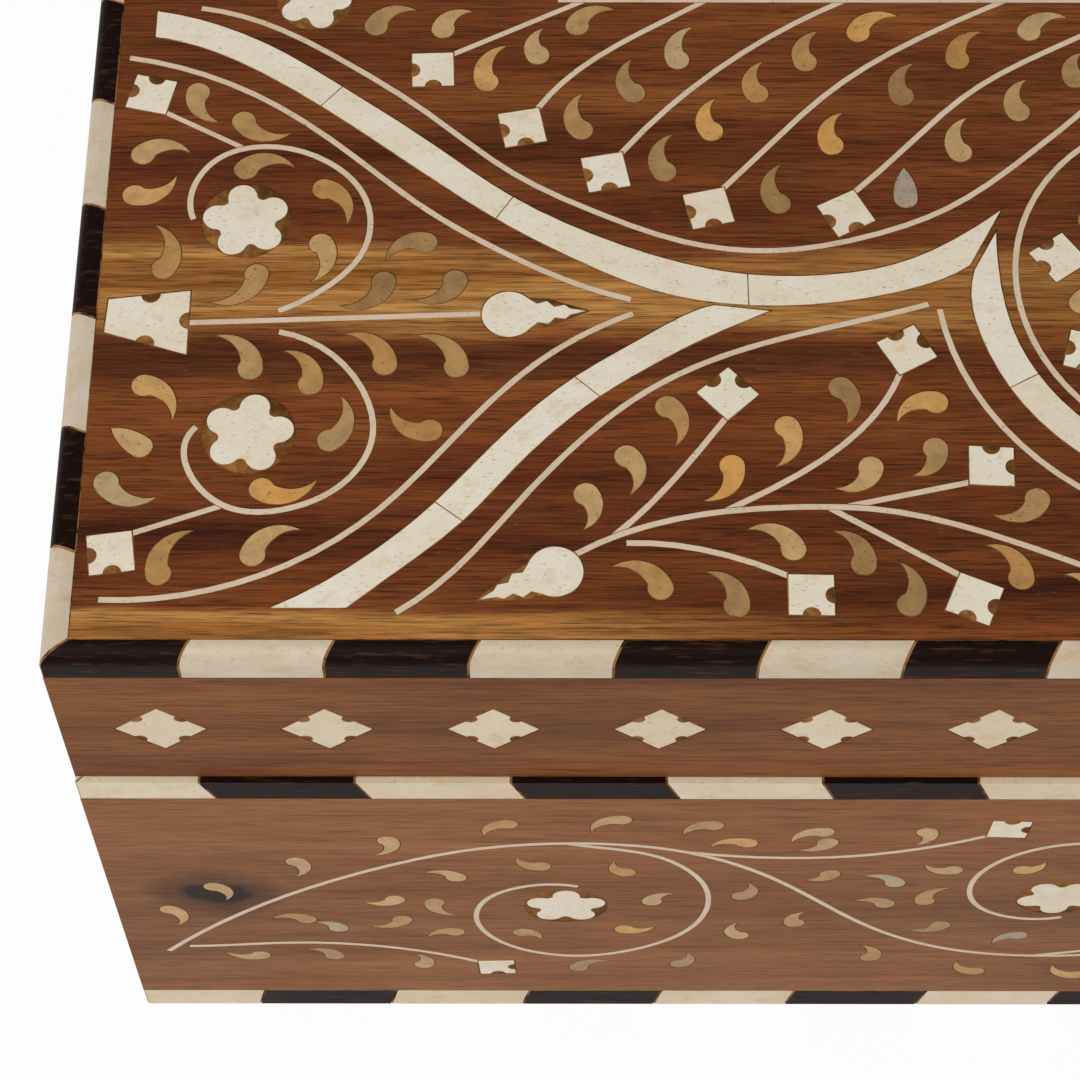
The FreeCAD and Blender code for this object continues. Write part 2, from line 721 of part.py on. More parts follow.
VINE_FIRST_LEAVES = [
    (12.9, 4.7, 14, 0.4, 1), (6.6, -2.8, 7.1, -8, 1), (23.6, 12.6, 23.2, 8, 1), (23.6, -6, 19.3, -5.7, -1),
]
# Room along the side that a full turn needs beyond its flower, and the bare end of the field
VINE_TURN_ROOM = 20.0
VINE_END_MARGIN = 4.5
# Leaves and buds on the sides are smaller than those on the lid
VINE_LEAF_SCALE = 0.92
VINE_BUD_SCALE = 0.95


@dataclass
class Field:
    """Maps places of a layout onto a face, stretched to the face and mirrored."""

    centre: tuple
    stretch: tuple
    mirror: tuple = (1, 1)

    def at(self, across, up):
        x = (across - self.centre[0]) * self.stretch[0] * self.mirror[0]
        y = (up - self.centre[1]) * self.stretch[1] * self.mirror[1]
        return Vector(x, y, 0)

    def path(self, places):
        return [self.at(*place) for place in places]

    def turn(self, degrees):
        facing = polar(1, degrees)
        return math.degrees(math.atan2(facing.y * self.mirror[1], facing.x * self.mirror[0]))

    @property
    def scale(self):
        return min(self.stretch)

    def leaf(self, head_across, head_up, tip_across, tip_up, bend, scale=1.0):
        head = self.at(head_across, head_up)
        tip = self.at(tip_across, tip_up)
        return Leaf(head, tip, bend * self.mirror[0] * self.mirror[1], scale * self.scale)

    def bud(self, across, up, turn, scale=1.0):
        return Bud(self.at(across, up), self.turn(turn), scale * self.scale)

    def flower(self, across, up, turn, scale=1.0):
        return Flower(self.at(across, up), self.turn(turn), scale * self.scale)

    def tulip(self, across, up, turn):
        return Tulip(self.at(across, up), self.turn(turn), self.scale)


def lid_motifs():
    """Lay out the lid: four mirrored quarters, two medallions and the motifs on the axes."""
    stretch = (size("box_length") / LAYOUT_LENGTH, (size("box_width") - size("lid_setback")) / LAYOUT_WIDTH)
    found = {kind: [] for kind in ("stringing", "leaves", "buds", "flowers", "tulips", "bands")}
    axis_stem = Strand(Field(LID_CENTRE, stretch).path(AXIS_STEM))
    found["stringing"].append(axis_stem)
    for mirror in ((1, 1), (-1, 1), (1, -1), (-1, -1)):
        quarter = Field(LID_CENTRE, stretch, mirror)
        buds = [quarter.bud(*numbers) for numbers in LID_BUDS]
        tulips = [quarter.tulip(*numbers) for numbers in LID_TULIPS]
        tulips.append(Crown(quarter.path(CROWN_CORNERS), quarter.path(CROWN_NOTCHES), quarter.scale))
        strands = [Strand(quarter.path(places)) for places in LID_STRINGS]
        for branch, main in LID_MEETINGS:
            strands[branch].meets.append(strands[main])
        for strand in strands:
            strand.meets += [axis_stem, quarter.bud(*FRONT_BUD)] + buds + tulips
        found["stringing"] += strands
        found["leaves"] += [quarter.leaf(*numbers) for numbers in LID_LEAVES]
        found["buds"] += buds
        found["flowers"] += [quarter.flower(*numbers) for numbers in LID_FLOWERS]
        found["tulips"] += tulips
        for stations, joints in ((BAND_SIDE, BAND_SIDE_JOINTS), (BAND_FRONT, BAND_FRONT_JOINTS)):
            found["bands"].append(Band([quarter.path(pair) for pair in stations], joints))
    for mirror in ((1, 1), (1, -1)):
        half = Field(LID_CENTRE, stretch, mirror)
        add_medallion(half, found)
        spandrel = half.bud(*SPANDREL_BUD)
        found["buds"] += [spandrel, half.bud(*FRONT_BUD)]
        found["stringing"].append(Strand(half.path(SPANDREL_STEM), [axis_stem, spandrel]))
    for mirror in ((1, 1), (-1, 1)):
        end = Field(LID_CENTRE, stretch, mirror)
        found["flowers"].append(end.flower(*END_FLOWER, scale=END_FLOWER_SCALE))
    return found


def add_medallion(half, found):
    """Add one medallion: a bone ring open at the lid's middle, a thin circle and a rosette."""
    centre = half.at(*MEDALLION_CENTRE)
    outer = size("ring_radius") * half.scale
    inner = outer - size("ring_width") * half.scale
    cap = half.path(RING_CAP)
    opposite = [Vector(2 * centre.x - point.x, point.y, 0) for point in cap]
    stations = [cap]
    for turn in RING_TURNS:
        stations.append([centre + polar(radius, half.turn(turn)) for radius in (outer, inner)])
    stations.append(opposite)
    found["bands"].append(Band(stations, RING_JOINTS))
    start, end = sorted(half.turn(turn) % 360 for turn in OUTER_ARC_TURNS)
    found["stringing"].append(Hoop(centre, outer + OUTER_ARC_GAP * half.scale, start, end))
    found["stringing"].append(Hoop(centre, size("medallion_radius") * half.scale))
    found["flowers"].append(Flower(centre, half.turn(90), half.scale, petals=6))
    step = 360 / ROSETTE_BUDS
    for k in range(ROSETTE_BUDS):
        turn = half.turn(90) + step * k
        place = centre + polar(ROSETTE_BUD_RADIUS * half.scale, turn)
        found["buds"].append(Bud(place, turn + 180, half.scale))
        stem = [centre + polar(reach * half.scale, turn) for reach in ROSETTE_STEM]
        found["stringing"].append(Strand(stem))
        head, tip = [centre + polar(reach * half.scale, turn + step / 2) for reach in ROSETTE_LEAF]
        found["leaves"].append(Leaf(head, tip, half.mirror[1], half.scale))


def side_motifs(length):
    """Lay out the running vine along one side of the body."""
    height = size("body_height") - size("rim_height") - size("base_height")
    stretch = (1.0, height / LAYOUT_PANEL_HEIGHT)
    limit = length - VINE_END_MARGIN
    flowers = 1 + int((length - VINE_FIRST_FLOWER - VINE_TURN_ROOM) // VINE_PITCH)
    start = Field((length / 2, 0), stretch)
    turns = [(VINE_FIRST_FLOWER + VINE_PITCH * k, -1 if k % 2 else 1) for k in range(flowers + 1)]
    waves = [(at + VINE_PEAK + along, up * way) for at, way in turns for along, up in VINE_HALF_WAVE]
    stem = Strand(start.path([place for place in VINE_START + waves if place[0] < limit]))
    found = {
        "stringing": [stem],
        "leaves": [start.leaf(*numbers, scale=VINE_LEAF_SCALE) for numbers in VINE_FIRST_LEAVES],
        "buds": [],
        "flowers": [],
    }
    for number, (at, way) in enumerate(turns):
        turn = Field((length / 2 - at, 0), stretch, (1, way))
        for numbers in VINE_LEAVES:
            if at + max(numbers[0], numbers[2]) < limit:
                found["leaves"].append(turn.leaf(*numbers, scale=VINE_LEAF_SCALE))
        if number < flowers:
            found["stringing"].append(Strand(turn.path(VINE_SPIRAL), [stem]))
            found["flowers"].append(turn.flower(*VINE_FLOWER))
        if at + VINE_BUD[0] + size("bud_side") < limit:
            bud = turn.bud(*VINE_BUD, scale=VINE_BUD_SCALE)
            lead = VINE_LEAD if number else VINE_FIRST_LEAD
            found["stringing"].append(Strand(turn.path([lead] + VINE_BRANCH), [stem, bud]))
            found["buds"].append(bud)
    return found


def rail_motifs(length):
    """Lay out the row of diamonds along one side of the lid."""
    count = DIAMONDS_LONG if length == size("box_length") else DIAMONDS_SHORT
    margin = size("diamond_margin")
    pitch = (length - 2 * margin) / (count - 1)
    return {"diamonds": [Diamond(Vector(margin - length / 2 + pitch * k, 0, 0)) for k in range(count)]}


def add_inlay(prefix, found, placement):
    """Make a group of solids for each kind of motif, and return the cutters for their recesses."""
    recesses = []
    for kind, motifs in found.items():
        solids = []
        for motif in motifs:
            solids += motif.segments() if kind == "bands" else [motif.solid()]
        keep(shape_object(f"{prefix}_{kind}", Part.makeCompound(solids), placement), f"{prefix}_{kind}")
        cutters = Part.makeCompound([motif.recess() for motif in motifs])
        recesses.append(shape_object(f"{prefix}_{kind}_recesses", cutters, placement))
    return recesses


def recessed(name, base, recesses):
    """Sink the recesses for the inlay into a finished board."""
    shape = base.Shape
    for group in recesses:
        shape = shape.cut(group.Shape)
    return keep(shape_object(f"{name}_recessed", shape.Solids[0]), name)


def face_placement(side, reach, height, shift=0.0):
    """Return the placement of an upright face: x along it, y up and z outward."""
    about = Rotation(Vector(0, 0, 1), SIDE_TURNS[side])
    base = about.multVec(Vector(0, -reach, height)) + Vector(0, shift, 0)
    return Placement(base, about * Rotation(Vector(1, 0, 0), 90))


def turned(body, side, shift="0"):
    """Turn a board made along the front to its own side of the box."""
    body.Placement = Placement(Vector(), Rotation(Vector(0, 0, 1), SIDE_TURNS[side]))
    bind(body, Placement__Base__y=shift)
    return body


def run_joints(length, count, end_piece):
    """Return the places of the joints along a run with equal pieces between two end pieces."""
    pitch = (length - 2 * end_piece) / (count - 2)
    inner = [-length / 2 + end_piece + pitch * k for k in range(count - 1)]
    return [-length / 2] + inner + [length / 2]


def block(near, far):
    """Return the solid between two four-cornered faces, each given in turn order."""
    faces = [Part.Face(Part.makePolygon(corners + corners[:1])) for corners in (near[::-1], far)]
    for k in range(4):
        n = (k + 1) % 4
        faces.append(Part.Face(Part.makePolygon([near[k], near[n], far[n], far[k], near[k]])))
    solid = Part.makeSolid(Part.makeShell(faces))
    if solid.Volume < 0:
        solid.reverse()
    return solid


def strip_pieces(length, reach, joints, slant, bottom, top):
    """Return the pieces of an upright strip, mitred at its ends and jointed on a slant."""
    depth = size("strip_depth")
    pieces = []
    for start, end in zip(joints, joints[1:]):
        faces = []
        for inward in (0.0, depth):
            y = -reach + inward
            corners = []
            for place, z in ((start, bottom), (end, bottom), (end, top), (start, top)):
                x = place + slant * (0.5 if z == top else -0.5)
                if abs(place) == length / 2:
                    x = place - math.copysign(inward, place)
                corners.append(Vector(x, y, z))
            faces.append(corners)
        pieces.append(block(*faces))
    return pieces


def border_pieces(length, reach, joints, width, mitre):
    """Return the pieces of the border round the lid's top, rounded along the outer edge."""
    slant = size("border_slant")
    top = size("box_height")
    pieces = []
    for start, end in zip(joints, joints[1:]):
        corners = []
        for place, inward in ((start, 0.0), (end, 0.0), (end, width), (start, width)):
            x = place + slant * (0.5 if inward else -0.5)
            if abs(place) == length / 2:
                x = place - math.copysign(mitre if inward else 0.0, place)
            corners.append(Vector(x, -reach + inward, top))
        plan = Part.Face(Part.Wire(closed_polygon(corners)))
        piece = plan.extrude(Vector(0, 0, -size("border_height")))
        outer = [edge for edge in piece.Edges if all(
            abs(corner.Y + reach) < SAME_PLACE and abs(corner.Z - top) < SAME_PLACE
            for corner in edge.Vertexes)]
        pieces.append(piece.makeFillet(size("border_easing"), outer))
    return pieces


# Hinges: the axis lies in the seam, inside the back face, so the barrels stay within the box
AXIS_Y = "box_width / 2 - hinge_inset"
AXIS_Z = "body_height + seam_gap / 2"
LID_BOTTOM = "body_height + seam_gap"
KNUCKLE_LENGTH = f"(hinge_length - {KNUCKLES - 1} * knuckle_gap) / {KNUCKLES}"
SCREW_Y = f"{AXIS_Y} - (leaf_width + knuckle_diameter / 2) / 2"
HINGE_STARTS = {
    "left": "-hinge_spacing / 2 - hinge_length / 2",
    "right": "hinge_spacing / 2 - hinge_length / 2",
}


def rod(name, radius, length, start):
    """Make a round bar on the hinge axis."""
    bar = doc.addObject("Part::Cylinder", name)
    bar.Placement = Placement(Vector(), Rotation(Vector(0, 1, 0), 90))
    bind(bar, Radius=radius, Height=length)
    bind(bar, Placement__Base__x=start, Placement__Base__y=AXIS_Y, Placement__Base__z=AXIS_Z)
    return bar


def knuckle_start(start, number):
    """Return where a knuckle starts along the hinge axis."""
    return f"{start} + {number} * ({KNUCKLE_LENGTH} + knuckle_gap)"


def screw_solid(name, start, number, way, slack, extra):
    """Make one countersunk screw, or its hole where slack is more than nothing.

    way is 1 for a screw driven up into the lid and -1 for one driven down into the body.
    """
    face = LID_BOTTOM if way > 0 else "body_height"
    spot = f"{start} + hinge_length / 2 + {number - (SCREWS_PER_LEAF - 1) / 2} * screw_pitch"
    head = doc.addObject("Part::Cone", f"{name}_head")
    bind(head, Radius1=f"screw_head_diameter / 2 + {slack}", Radius2=f"screw_diameter / 2 + {slack}")
    bind(head, Height="screw_head_height")
    shank = doc.addObject("Part::Cylinder", f"{name}_shank")
    bind(shank, Radius=f"screw_diameter / 2 + {slack}", Height=f"screw_length + {extra}")
    for piece in (head, shank):
        piece.Placement = Placement(Vector(), Rotation(Vector(1, 0, 0), 0 if way > 0 else 180))
        bind(piece, Placement__Base__x=spot, Placement__Base__y=SCREW_Y, Placement__Base__z=face)
    return fuse(name, [head, shank]), spot, face


def slotted_screw(name, start, number, way):
    """Make one slotted screw."""
    screw, spot, face = screw_solid(name, start, number, way, "0", "0")
    corner = (f"{spot} - screw_slot / 2", f"{SCREW_Y} - screw_head_diameter", f"{face} - screw_slot")
    slot = box(f"{name}_slot", "screw_slot", "2 * screw_head_diameter", "2 * screw_slot", corner)
    return cut(name, screw, slot)


def screw_hole(name, start, number, way):
    """Make the cutter for one screw's hole."""
    return screw_solid(name, start, number, way, "screw_clearance", "2 * screw_clearance")[0]


def hinge_leaf(name, start, own, other, bottom, holes):
    """Make one leaf: a plate with its own knuckles, clear of the other leaf's, bored and drilled."""
    corner = (start, f"{AXIS_Y} - leaf_width", bottom)
    plate = box(f"{name}_plate", "hinge_length", "leaf_width", "leaf_thickness", corner)
    room = []
    for k in other:
        room.append(rod(f"{name}_room", "knuckle_diameter / 2 + hinge_clearance",
                        f"{KNUCKLE_LENGTH} + 2 * knuckle_gap", f"{knuckle_start(start, k)} - knuckle_gap"))
    knuckles = []
    for k in own:
        place = knuckle_start(start, k)
        knuckles.append(rod(f"{name}_knuckle", "knuckle_diameter / 2", KNUCKLE_LENGTH, place))
    trimmed = cut(f"{name}_trimmed", plate, fuse(f"{name}_rooms", room))
    whole = fuse(f"{name}_whole", [trimmed] + knuckles)
    pin_bore = rod(f"{name}_bore", "pin_diameter / 2 + pin_clearance", "hinge_length", start)
    return keep(cut(name, whole, pin_bore, holes), name)


def build_hinges():
    """Make both hinges and return the cutters for the body's back and the lid's back."""
    screws = {"body": [], "lid": []}
    cutters = {"body": [], "lid": []}
    own = {"body": range(0, KNUCKLES, 2), "lid": range(1, KNUCKLES, 2)}
    for side, start in HINGE_STARTS.items():
        for part, other, way in (("body", "lid", -1), ("lid", "body", 1)):
            name = f"hinge_{side}_{part}_leaf"
            numbers = range(SCREWS_PER_LEAF)
            screws[part] += [slotted_screw(f"{name}_screw{k}", start, k, way) for k in numbers]
            holes = fuse(f"{name}_holes", [screw_hole(f"{name}_hole{k}", start, k, way) for k in numbers])
            bottom = LID_BOTTOM if way > 0 else "body_height - leaf_thickness"
            hinge_leaf(name, start, own[part], own[other], bottom, holes)
            corner = (f"{start} - hinge_clearance", f"{AXIS_Y} - leaf_width - hinge_clearance",
                      f"{LID_BOTTOM} - seam_gap" if way > 0 else "body_height - leaf_thickness")
            mortise = box(f"{name}_mortise", "hinge_length + 2 * hinge_clearance",
                          "leaf_width + hinge_clearance", "leaf_thickness + seam_gap", corner)
            groove = rod(f"{name}_groove", "knuckle_diameter / 2 + hinge_clearance",
                         "hinge_length + 2 * hinge_clearance", f"{start} - hinge_clearance")
            cutters[part] += [mortise, groove, holes]
        pin = rod(f"hinge_{side}_pin_rod", "pin_diameter / 2", "hinge_length", start)
        keep(pin, f"hinge_{side}_pin")
    for part, group in screws.items():
        screw_group = doc.addObject("Part::Compound", f"hinge_{part}_screw_group")
        screw_group.Links = group
        keep(screw_group, f"hinge_{part}_screws")
    bevels = {}
    for part, way in (("body", "-1"), ("lid", "1")):
        behind = f"box_width / 2 + {OVERCUT}"
        fall = f"{AXIS_Z} + {way} * (hinge_inset + {OVERCUT}) * tan(lid_stop_angle * 1 deg)"
        corners = [(AXIS_Y, AXIS_Z), (behind, AXIS_Z), (behind, fall)]
        bevels[part] = prism(f"{part}_back_bevel", corners, f"box_length + {2 * OVERCUT}")
        cutters[part] = fuse(f"{part}_hinge_cutter", cutters[part] + [bevels[part]])
    return cutters, bevels


def build_body(cutter, bevel):
    """Make the body: four mitred boards with their inlay, the bottom and the two jointed strips."""
    profile = [
        ("strip_depth", "0"),
        ("strip_depth", "base_height"),
        ("0", "base_height"),
        ("0", "body_height - rim_height"),
        ("strip_depth", "body_height - rim_height"),
        ("strip_depth", "body_height"),
        ("wall_thickness", "body_height"),
        ("wall_thickness", "bottom_thickness"),
        ("wall_thickness - bottom_rabbet", "bottom_thickness"),
        ("wall_thickness - bottom_rabbet", "0"),
    ]
    rim_top = size("body_height")
    rim_bottom = rim_top - size("rim_height")
    base_top = size("base_height")
    middle = (rim_bottom + base_top) / 2
    pieces = {"rim_bone": [], "rim_ebony": [], "base_bone": [], "base_ebony": []}
    for side, turn in SIDE_TURNS.items():
        along, across = ("box_length", "box_width") if side in LONG_SIDES else ("box_width", "box_length")
        length = size(along)
        reach = size(across) / 2
        board = mitred_board(f"{side}_board", along, f"{across} / 2", profile, "wall_thickness")
        turned(board, side)
        recesses = add_inlay(side, side_motifs(length), face_placement(side, reach, middle))
        extra = {"front": [], "back": [cutter]}.get(side, [bevel])
        recessed(f"{side}_panel", cut(f"{side}_trimmed", board, *extra), recesses)
        count = STRIP_PIECES_LONG if side in LONG_SIDES else STRIP_PIECES_SHORT
        about = Placement(Vector(), Rotation(Vector(0, 0, 1), turn)).Matrix
        rows = {
            "rim": strip_pieces(length, reach, run_joints(length, count, size("rim_end_piece")),
                                -size("rim_slant"), rim_bottom, rim_top),
            "base": strip_pieces(length, reach, run_joints(length, count, size("base_end_piece")),
                                 size("base_slant"), 0.0, base_top),
        }
        for row, run in rows.items():
            run = [piece.transformed(about) for piece in run]
            pieces[f"{row}_bone"] += run[0::2]
            pieces[f"{row}_ebony"] += run[1::2]
    for name, group in pieces.items():
        strip = shape_object(f"{name}_pieces", Part.makeCompound(group))
        keep(cut(name, strip, cutter) if name.startswith("rim") else strip, f"{name}_strip")
    seat = "wall_thickness - bottom_rabbet"
    corner = (f"-box_length / 2 + {seat}", f"-box_width / 2 + {seat}", "0")
    bottom = box("bottom_board", f"box_length - 2 * ({seat})", f"box_width - 2 * ({seat})",
                 "bottom_thickness", corner)
    keep(bottom, "bottom_panel")


def build_lid(cutter, bevel):
    """Make the lid: four mitred rails, the inlaid top panel and the jointed border round it."""
    shift = size("lid_setback") / 2
    lid_width = "box_width - lid_setback"
    middle = (size("body_height") + size("seam_gap") + size("box_height") - size("border_height")) / 2
    border = {"bone": [], "ebony": []}
    for side, turn in SIDE_TURNS.items():
        along, across = ("box_length", lid_width) if side in LONG_SIDES else (lid_width, "box_length")
        length = size("box_length")
        reach = (size("box_width") - size("lid_setback")) / 2
        ledge, other = "border_width_long", "border_width"
        if side not in LONG_SIDES:
            length, reach = 2 * reach, length / 2
            ledge, other = other, ledge
        profile = [
            ("0", LID_BOTTOM),
            ("0", "box_height - border_height"),
            (ledge, "box_height - border_height"),
            (ledge, "box_height - lid_panel_thickness"),
            ("wall_thickness", "box_height - lid_panel_thickness"),
            ("wall_thickness", LID_BOTTOM),
        ]
        rail = mitred_board(f"lid_{side}_board", along, f"({across}) / 2", profile, "wall_thickness")
        turned(rail, side, "lid_setback / 2")
        recesses = add_inlay(f"lid_{side}", rail_motifs(length), face_placement(side, reach, middle, shift))
        extra = {"front": [], "back": [cutter]}.get(side, [bevel])
        recessed(f"lid_{side}_rail", cut(f"lid_{side}_trimmed", rail, *extra), recesses)
        if side in LONG_SIDES:
            joints = run_joints(length, BORDER_PIECES_LONG, length / BORDER_PIECES_LONG)
        else:
            joints = run_joints(length, BORDER_PIECES_SHORT, size("border_end_piece"))
        about = Placement(Vector(0, shift, 0), Rotation(Vector(0, 0, 1), turn)).Matrix
        pieces = border_pieces(length, reach, joints, size(ledge), size(other))
        run = [piece.transformed(about) for piece in pieces]
        first, second = ("bone", "ebony") if side == "right" else ("ebony", "bone")
        border[first] += run[0::2]
        border[second] += run[1::2]
    for name, group in border.items():
        keep(shape_object(f"border_{name}", Part.makeCompound(group)), f"lid_border_{name}")
    corner = ("-box_length / 2 + border_width", "-box_width / 2 + lid_setback + border_width_long",
              "box_height - lid_panel_thickness")
    panel = box("lid_board", "box_length - 2 * border_width", f"{lid_width} - 2 * border_width_long",
                "lid_panel_thickness", corner)
    recesses = add_inlay("lid", lid_motifs(), Placement(Vector(0, shift, size("box_height")), Rotation()))
    doc.recompute()
    recessed("lid_panel", panel, recesses)


def write_sub_parts():
    """Check every object and write each sub-part to its own file."""
    doc.recompute()
    for item in doc.Objects:
        if "Invalid" in item.State or "Error" in item.State:
            raise RuntimeError(f"{item.Name} failed: {item.State}")
    for item in sub_parts:
        if item.Shape.isNull() or not item.Shape.isValid():
            raise RuntimeError(f"{item.Label} has no valid shape")
    for item in sub_parts:
        item.Shape.exportStep(f"parts/{item.Label}.step")
        print(f"{item.Label}: {len(item.Shape.Solids)} solids, {item.Shape.Volume:.1f} mm3")


hinge_cutters, back_bevels = build_hinges()
build_body(hinge_cutters["body"], back_bevels["body"])
build_lid(hinge_cutters["lid"], back_bevels["lid"])
write_sub_parts()
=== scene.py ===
"""Dresses the inlaid wooden box: finishes, glue filler round the inlay, studio and camera."""

import logging
import math
from dataclasses import dataclass
from enum import Enum
from typing import Any, ClassVar, NamedTuple, Optional, Sequence

import bmesh
import bpy
import numpy as np
from mathutils import Matrix, Vector


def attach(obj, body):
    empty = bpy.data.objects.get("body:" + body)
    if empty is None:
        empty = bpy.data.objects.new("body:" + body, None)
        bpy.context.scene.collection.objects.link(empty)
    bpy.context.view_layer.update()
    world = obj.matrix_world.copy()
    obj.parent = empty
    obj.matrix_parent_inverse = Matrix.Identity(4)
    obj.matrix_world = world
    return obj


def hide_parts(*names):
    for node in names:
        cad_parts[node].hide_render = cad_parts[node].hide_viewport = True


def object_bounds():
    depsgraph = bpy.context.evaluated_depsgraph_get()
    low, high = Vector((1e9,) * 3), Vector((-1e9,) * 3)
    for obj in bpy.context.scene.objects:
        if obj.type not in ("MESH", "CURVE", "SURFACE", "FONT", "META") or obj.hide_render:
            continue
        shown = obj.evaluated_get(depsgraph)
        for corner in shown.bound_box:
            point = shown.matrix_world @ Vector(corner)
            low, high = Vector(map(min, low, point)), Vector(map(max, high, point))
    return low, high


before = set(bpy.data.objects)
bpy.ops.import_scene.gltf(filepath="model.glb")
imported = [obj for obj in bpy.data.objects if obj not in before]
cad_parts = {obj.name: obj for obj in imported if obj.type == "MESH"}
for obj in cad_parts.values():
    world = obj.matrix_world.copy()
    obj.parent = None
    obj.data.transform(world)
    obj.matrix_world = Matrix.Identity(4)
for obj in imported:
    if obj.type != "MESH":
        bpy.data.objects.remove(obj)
CAD_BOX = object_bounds()
LOG = logging.getLogger("inlaid_box")

MM = 0.001
TONE = "tone"
# Distance in metres within which two points of a mesh are one, and slack in finding a recess's floor
MERGE_STEP = 2e-6
FLOOR_SLACK_MM = 0.05
# Length that keeps the normal of a triangle without area finite
SHORTEST_NORMAL = 1e-20
# Seed and upper bound of the random edge numbers that tell closed pieces apart
EDGE_SEED = 11
EDGE_NUMBER_LIMIT = 2 ** 62
# Factors that turn a piece's centre in millimetres into a tone
TONE_FACTORS = (12.9898, 78.233, 37.719)
TONE_SPREAD = 43758.5453
# Widths of the glue stain along the edges of leaves, bone pieces, and border and strip pieces
LEAF_EDGE_MM = 0.04
BONE_EDGE_MM = 0.07
RUN_EDGE_MM = 0.14
# Angles in degrees: smooth shading, stained edges and flat joins
SMOOTH_LIMIT = 35.0
EDGE_LIMIT = 50.0
FLAT_LIMIT = 0.5
# Least share of a normal along an axis for a face square to it, and slack in metres for the box's sides
SQUARE_LIMIT = 0.99
SIDE_SLACK = 1e-4
# Sockets of Blender's node that mixes two colours
MIX_FACTOR, MIX_FIRST, MIX_SECOND = 0, 6, 7
MIX_RESULT = 2
# Shares of a noise's offset along X, Y and Z
OFFSET_SHARES = (1.0, 1.7, 0.6)

# Two numbers, three numbers along X, Y and Z, and noise values with their grey levels
Pair = tuple[float, float]
Triple = tuple[float, float, float]
Stops = tuple[Pair, ...]


class Grain(Enum):
    """The row axis that a board's grain runs along."""

    ALONG_X = 0
    ALONG_Y = 1


class BodyName(Enum):
    """The two rigid bodies of the box."""

    BOX = "body"
    LID = "lid"


class WoodTones(NamedTuple):
    """The colours of one wood, from its dark lines to its pale ones."""

    dark: str
    middle: str
    warm: str
    pale: str


LID_WOOD = WoodTones("#421b0d", "#743818", "#8c4b22", "#a35f2d")
RAIL_WOOD = WoodTones("#713b18", "#894f25", "#995e2b", "#a76b36")
BOARD_WOOD = WoodTones("#7e4a28", "#975e35", "#a86d40", "#b67c4b")
BASE_WOOD = WoodTones("#4b2a14", "#74441f", "#8a5428", "#9a6430")
# Colours of the streaks of sapwood and heartwood, from dark to pale
GOLD_STREAK = ("#9a5f28", "#c08242", "#d29a54")
DARK_STREAK = ("#3a1a0c", "#4e2412", "#642f16")


def linear(hex_code: str) -> tuple[float, float, float, float]:
    """Turns an sRGB hex colour into linear RGBA by the sRGB standard's curve.

    Args:
        hex_code: six hex digits, with or without a leading hash.

    Returns:
        Linear red, green, blue and an alpha of one.
    """
    digits = hex_code.lstrip("#")
    channels = [int(digits[k:k + 2], 16) / 255 for k in (0, 2, 4)]
    red, green, blue = [c / 12.92 if c <= 0.04045 else ((c + 0.055) / 1.055) ** 2.4 for c in channels]
    return red, green, blue, 1.0


def add_node(tree: bpy.types.NodeTree, kind: str, settings: Optional[dict[str, Any]] = None,
             inputs: Optional[dict[Any, Any]] = None) -> bpy.types.Node:
    """Adds one node, sets its properties and fills its inputs.

    Args:
        tree: the material's node tree.
        kind: Blender's type name of the node.
        settings: property names and values.
        inputs: socket names or numbers, each with a constant or with the output socket to link.

    Returns:
        The new node.
    """
    node = tree.nodes.new(kind)
    for name, value in (settings or {}).items():
        setattr(node, name, value)
    for socket, value in (inputs or {}).items():
        if isinstance(value, bpy.types.NodeSocket):
            tree.links.new(value, node.inputs[socket])
        else:
            node.inputs[socket].default_value = value
    return node


def set_inputs(shader: bpy.types.Node, values: dict[str, Any]) -> None:
    """Sets constant inputs of a shader.

    Args:
        shader: the shader node.
        values: input names and values.
    """
    for name, value in values.items():
        shader.inputs[name].default_value = value


def calculated(tree: bpy.types.NodeTree, operation: str, *values: Any,
               clamp: bool = False) -> bpy.types.NodeSocket:
    """Adds one step of arithmetic.

    Args:
        tree: the material's node tree.
        operation: Blender's name of the operation.
        values: the operands, each a constant or a socket.
        clamp: whether the result is kept between 0 and 1.

    Returns:
        The result.
    """
    settings = {"operation": operation, "use_clamp": clamp}
    return add_node(tree, "ShaderNodeMath", settings, dict(enumerate(values))).outputs[0]


def faded(tree: bpy.types.NodeTree, value: bpy.types.NodeSocket, start: float, end: float,
          strength: float) -> bpy.types.NodeSocket:
    """Lets a strength fade out smoothly while a value rises.

    Args:
        tree: the material's node tree.
        value: the value.
        start: where the fading starts.
        end: where nothing is left.
        strength: the result before the start.

    Returns:
        The faded strength.
    """
    node = add_node(tree, "ShaderNodeMapRange", {"interpolation_type": "SMOOTHSTEP"}, {
        "Value": value, "From Min": start, "From Max": end, "To Min": strength, "To Max": 0.0})
    return node.outputs[0]


def ramp(tree: bpy.types.NodeTree, factor: bpy.types.NodeSocket,
         stops: Sequence[tuple[float, Any]]) -> bpy.types.NodeSocket:
    """Maps a factor through colour stops.

    Args:
        tree: the material's node tree.
        factor: the value to map.
        stops: pairs of a place from 0 to 1 and a hex colour or a grey level.

    Returns:
        The colour output.
    """
    node = add_node(tree, "ShaderNodeValToRGB", inputs={"Fac": factor})
    elements = node.color_ramp.elements
    while len(elements) < len(stops):
        elements.new(0.5)
    for element, (place, colour) in zip(elements, stops):
        element.position = place
        element.color = linear(colour) if isinstance(colour, str) else (colour, colour, colour, 1.0)
    return node.outputs["Color"]


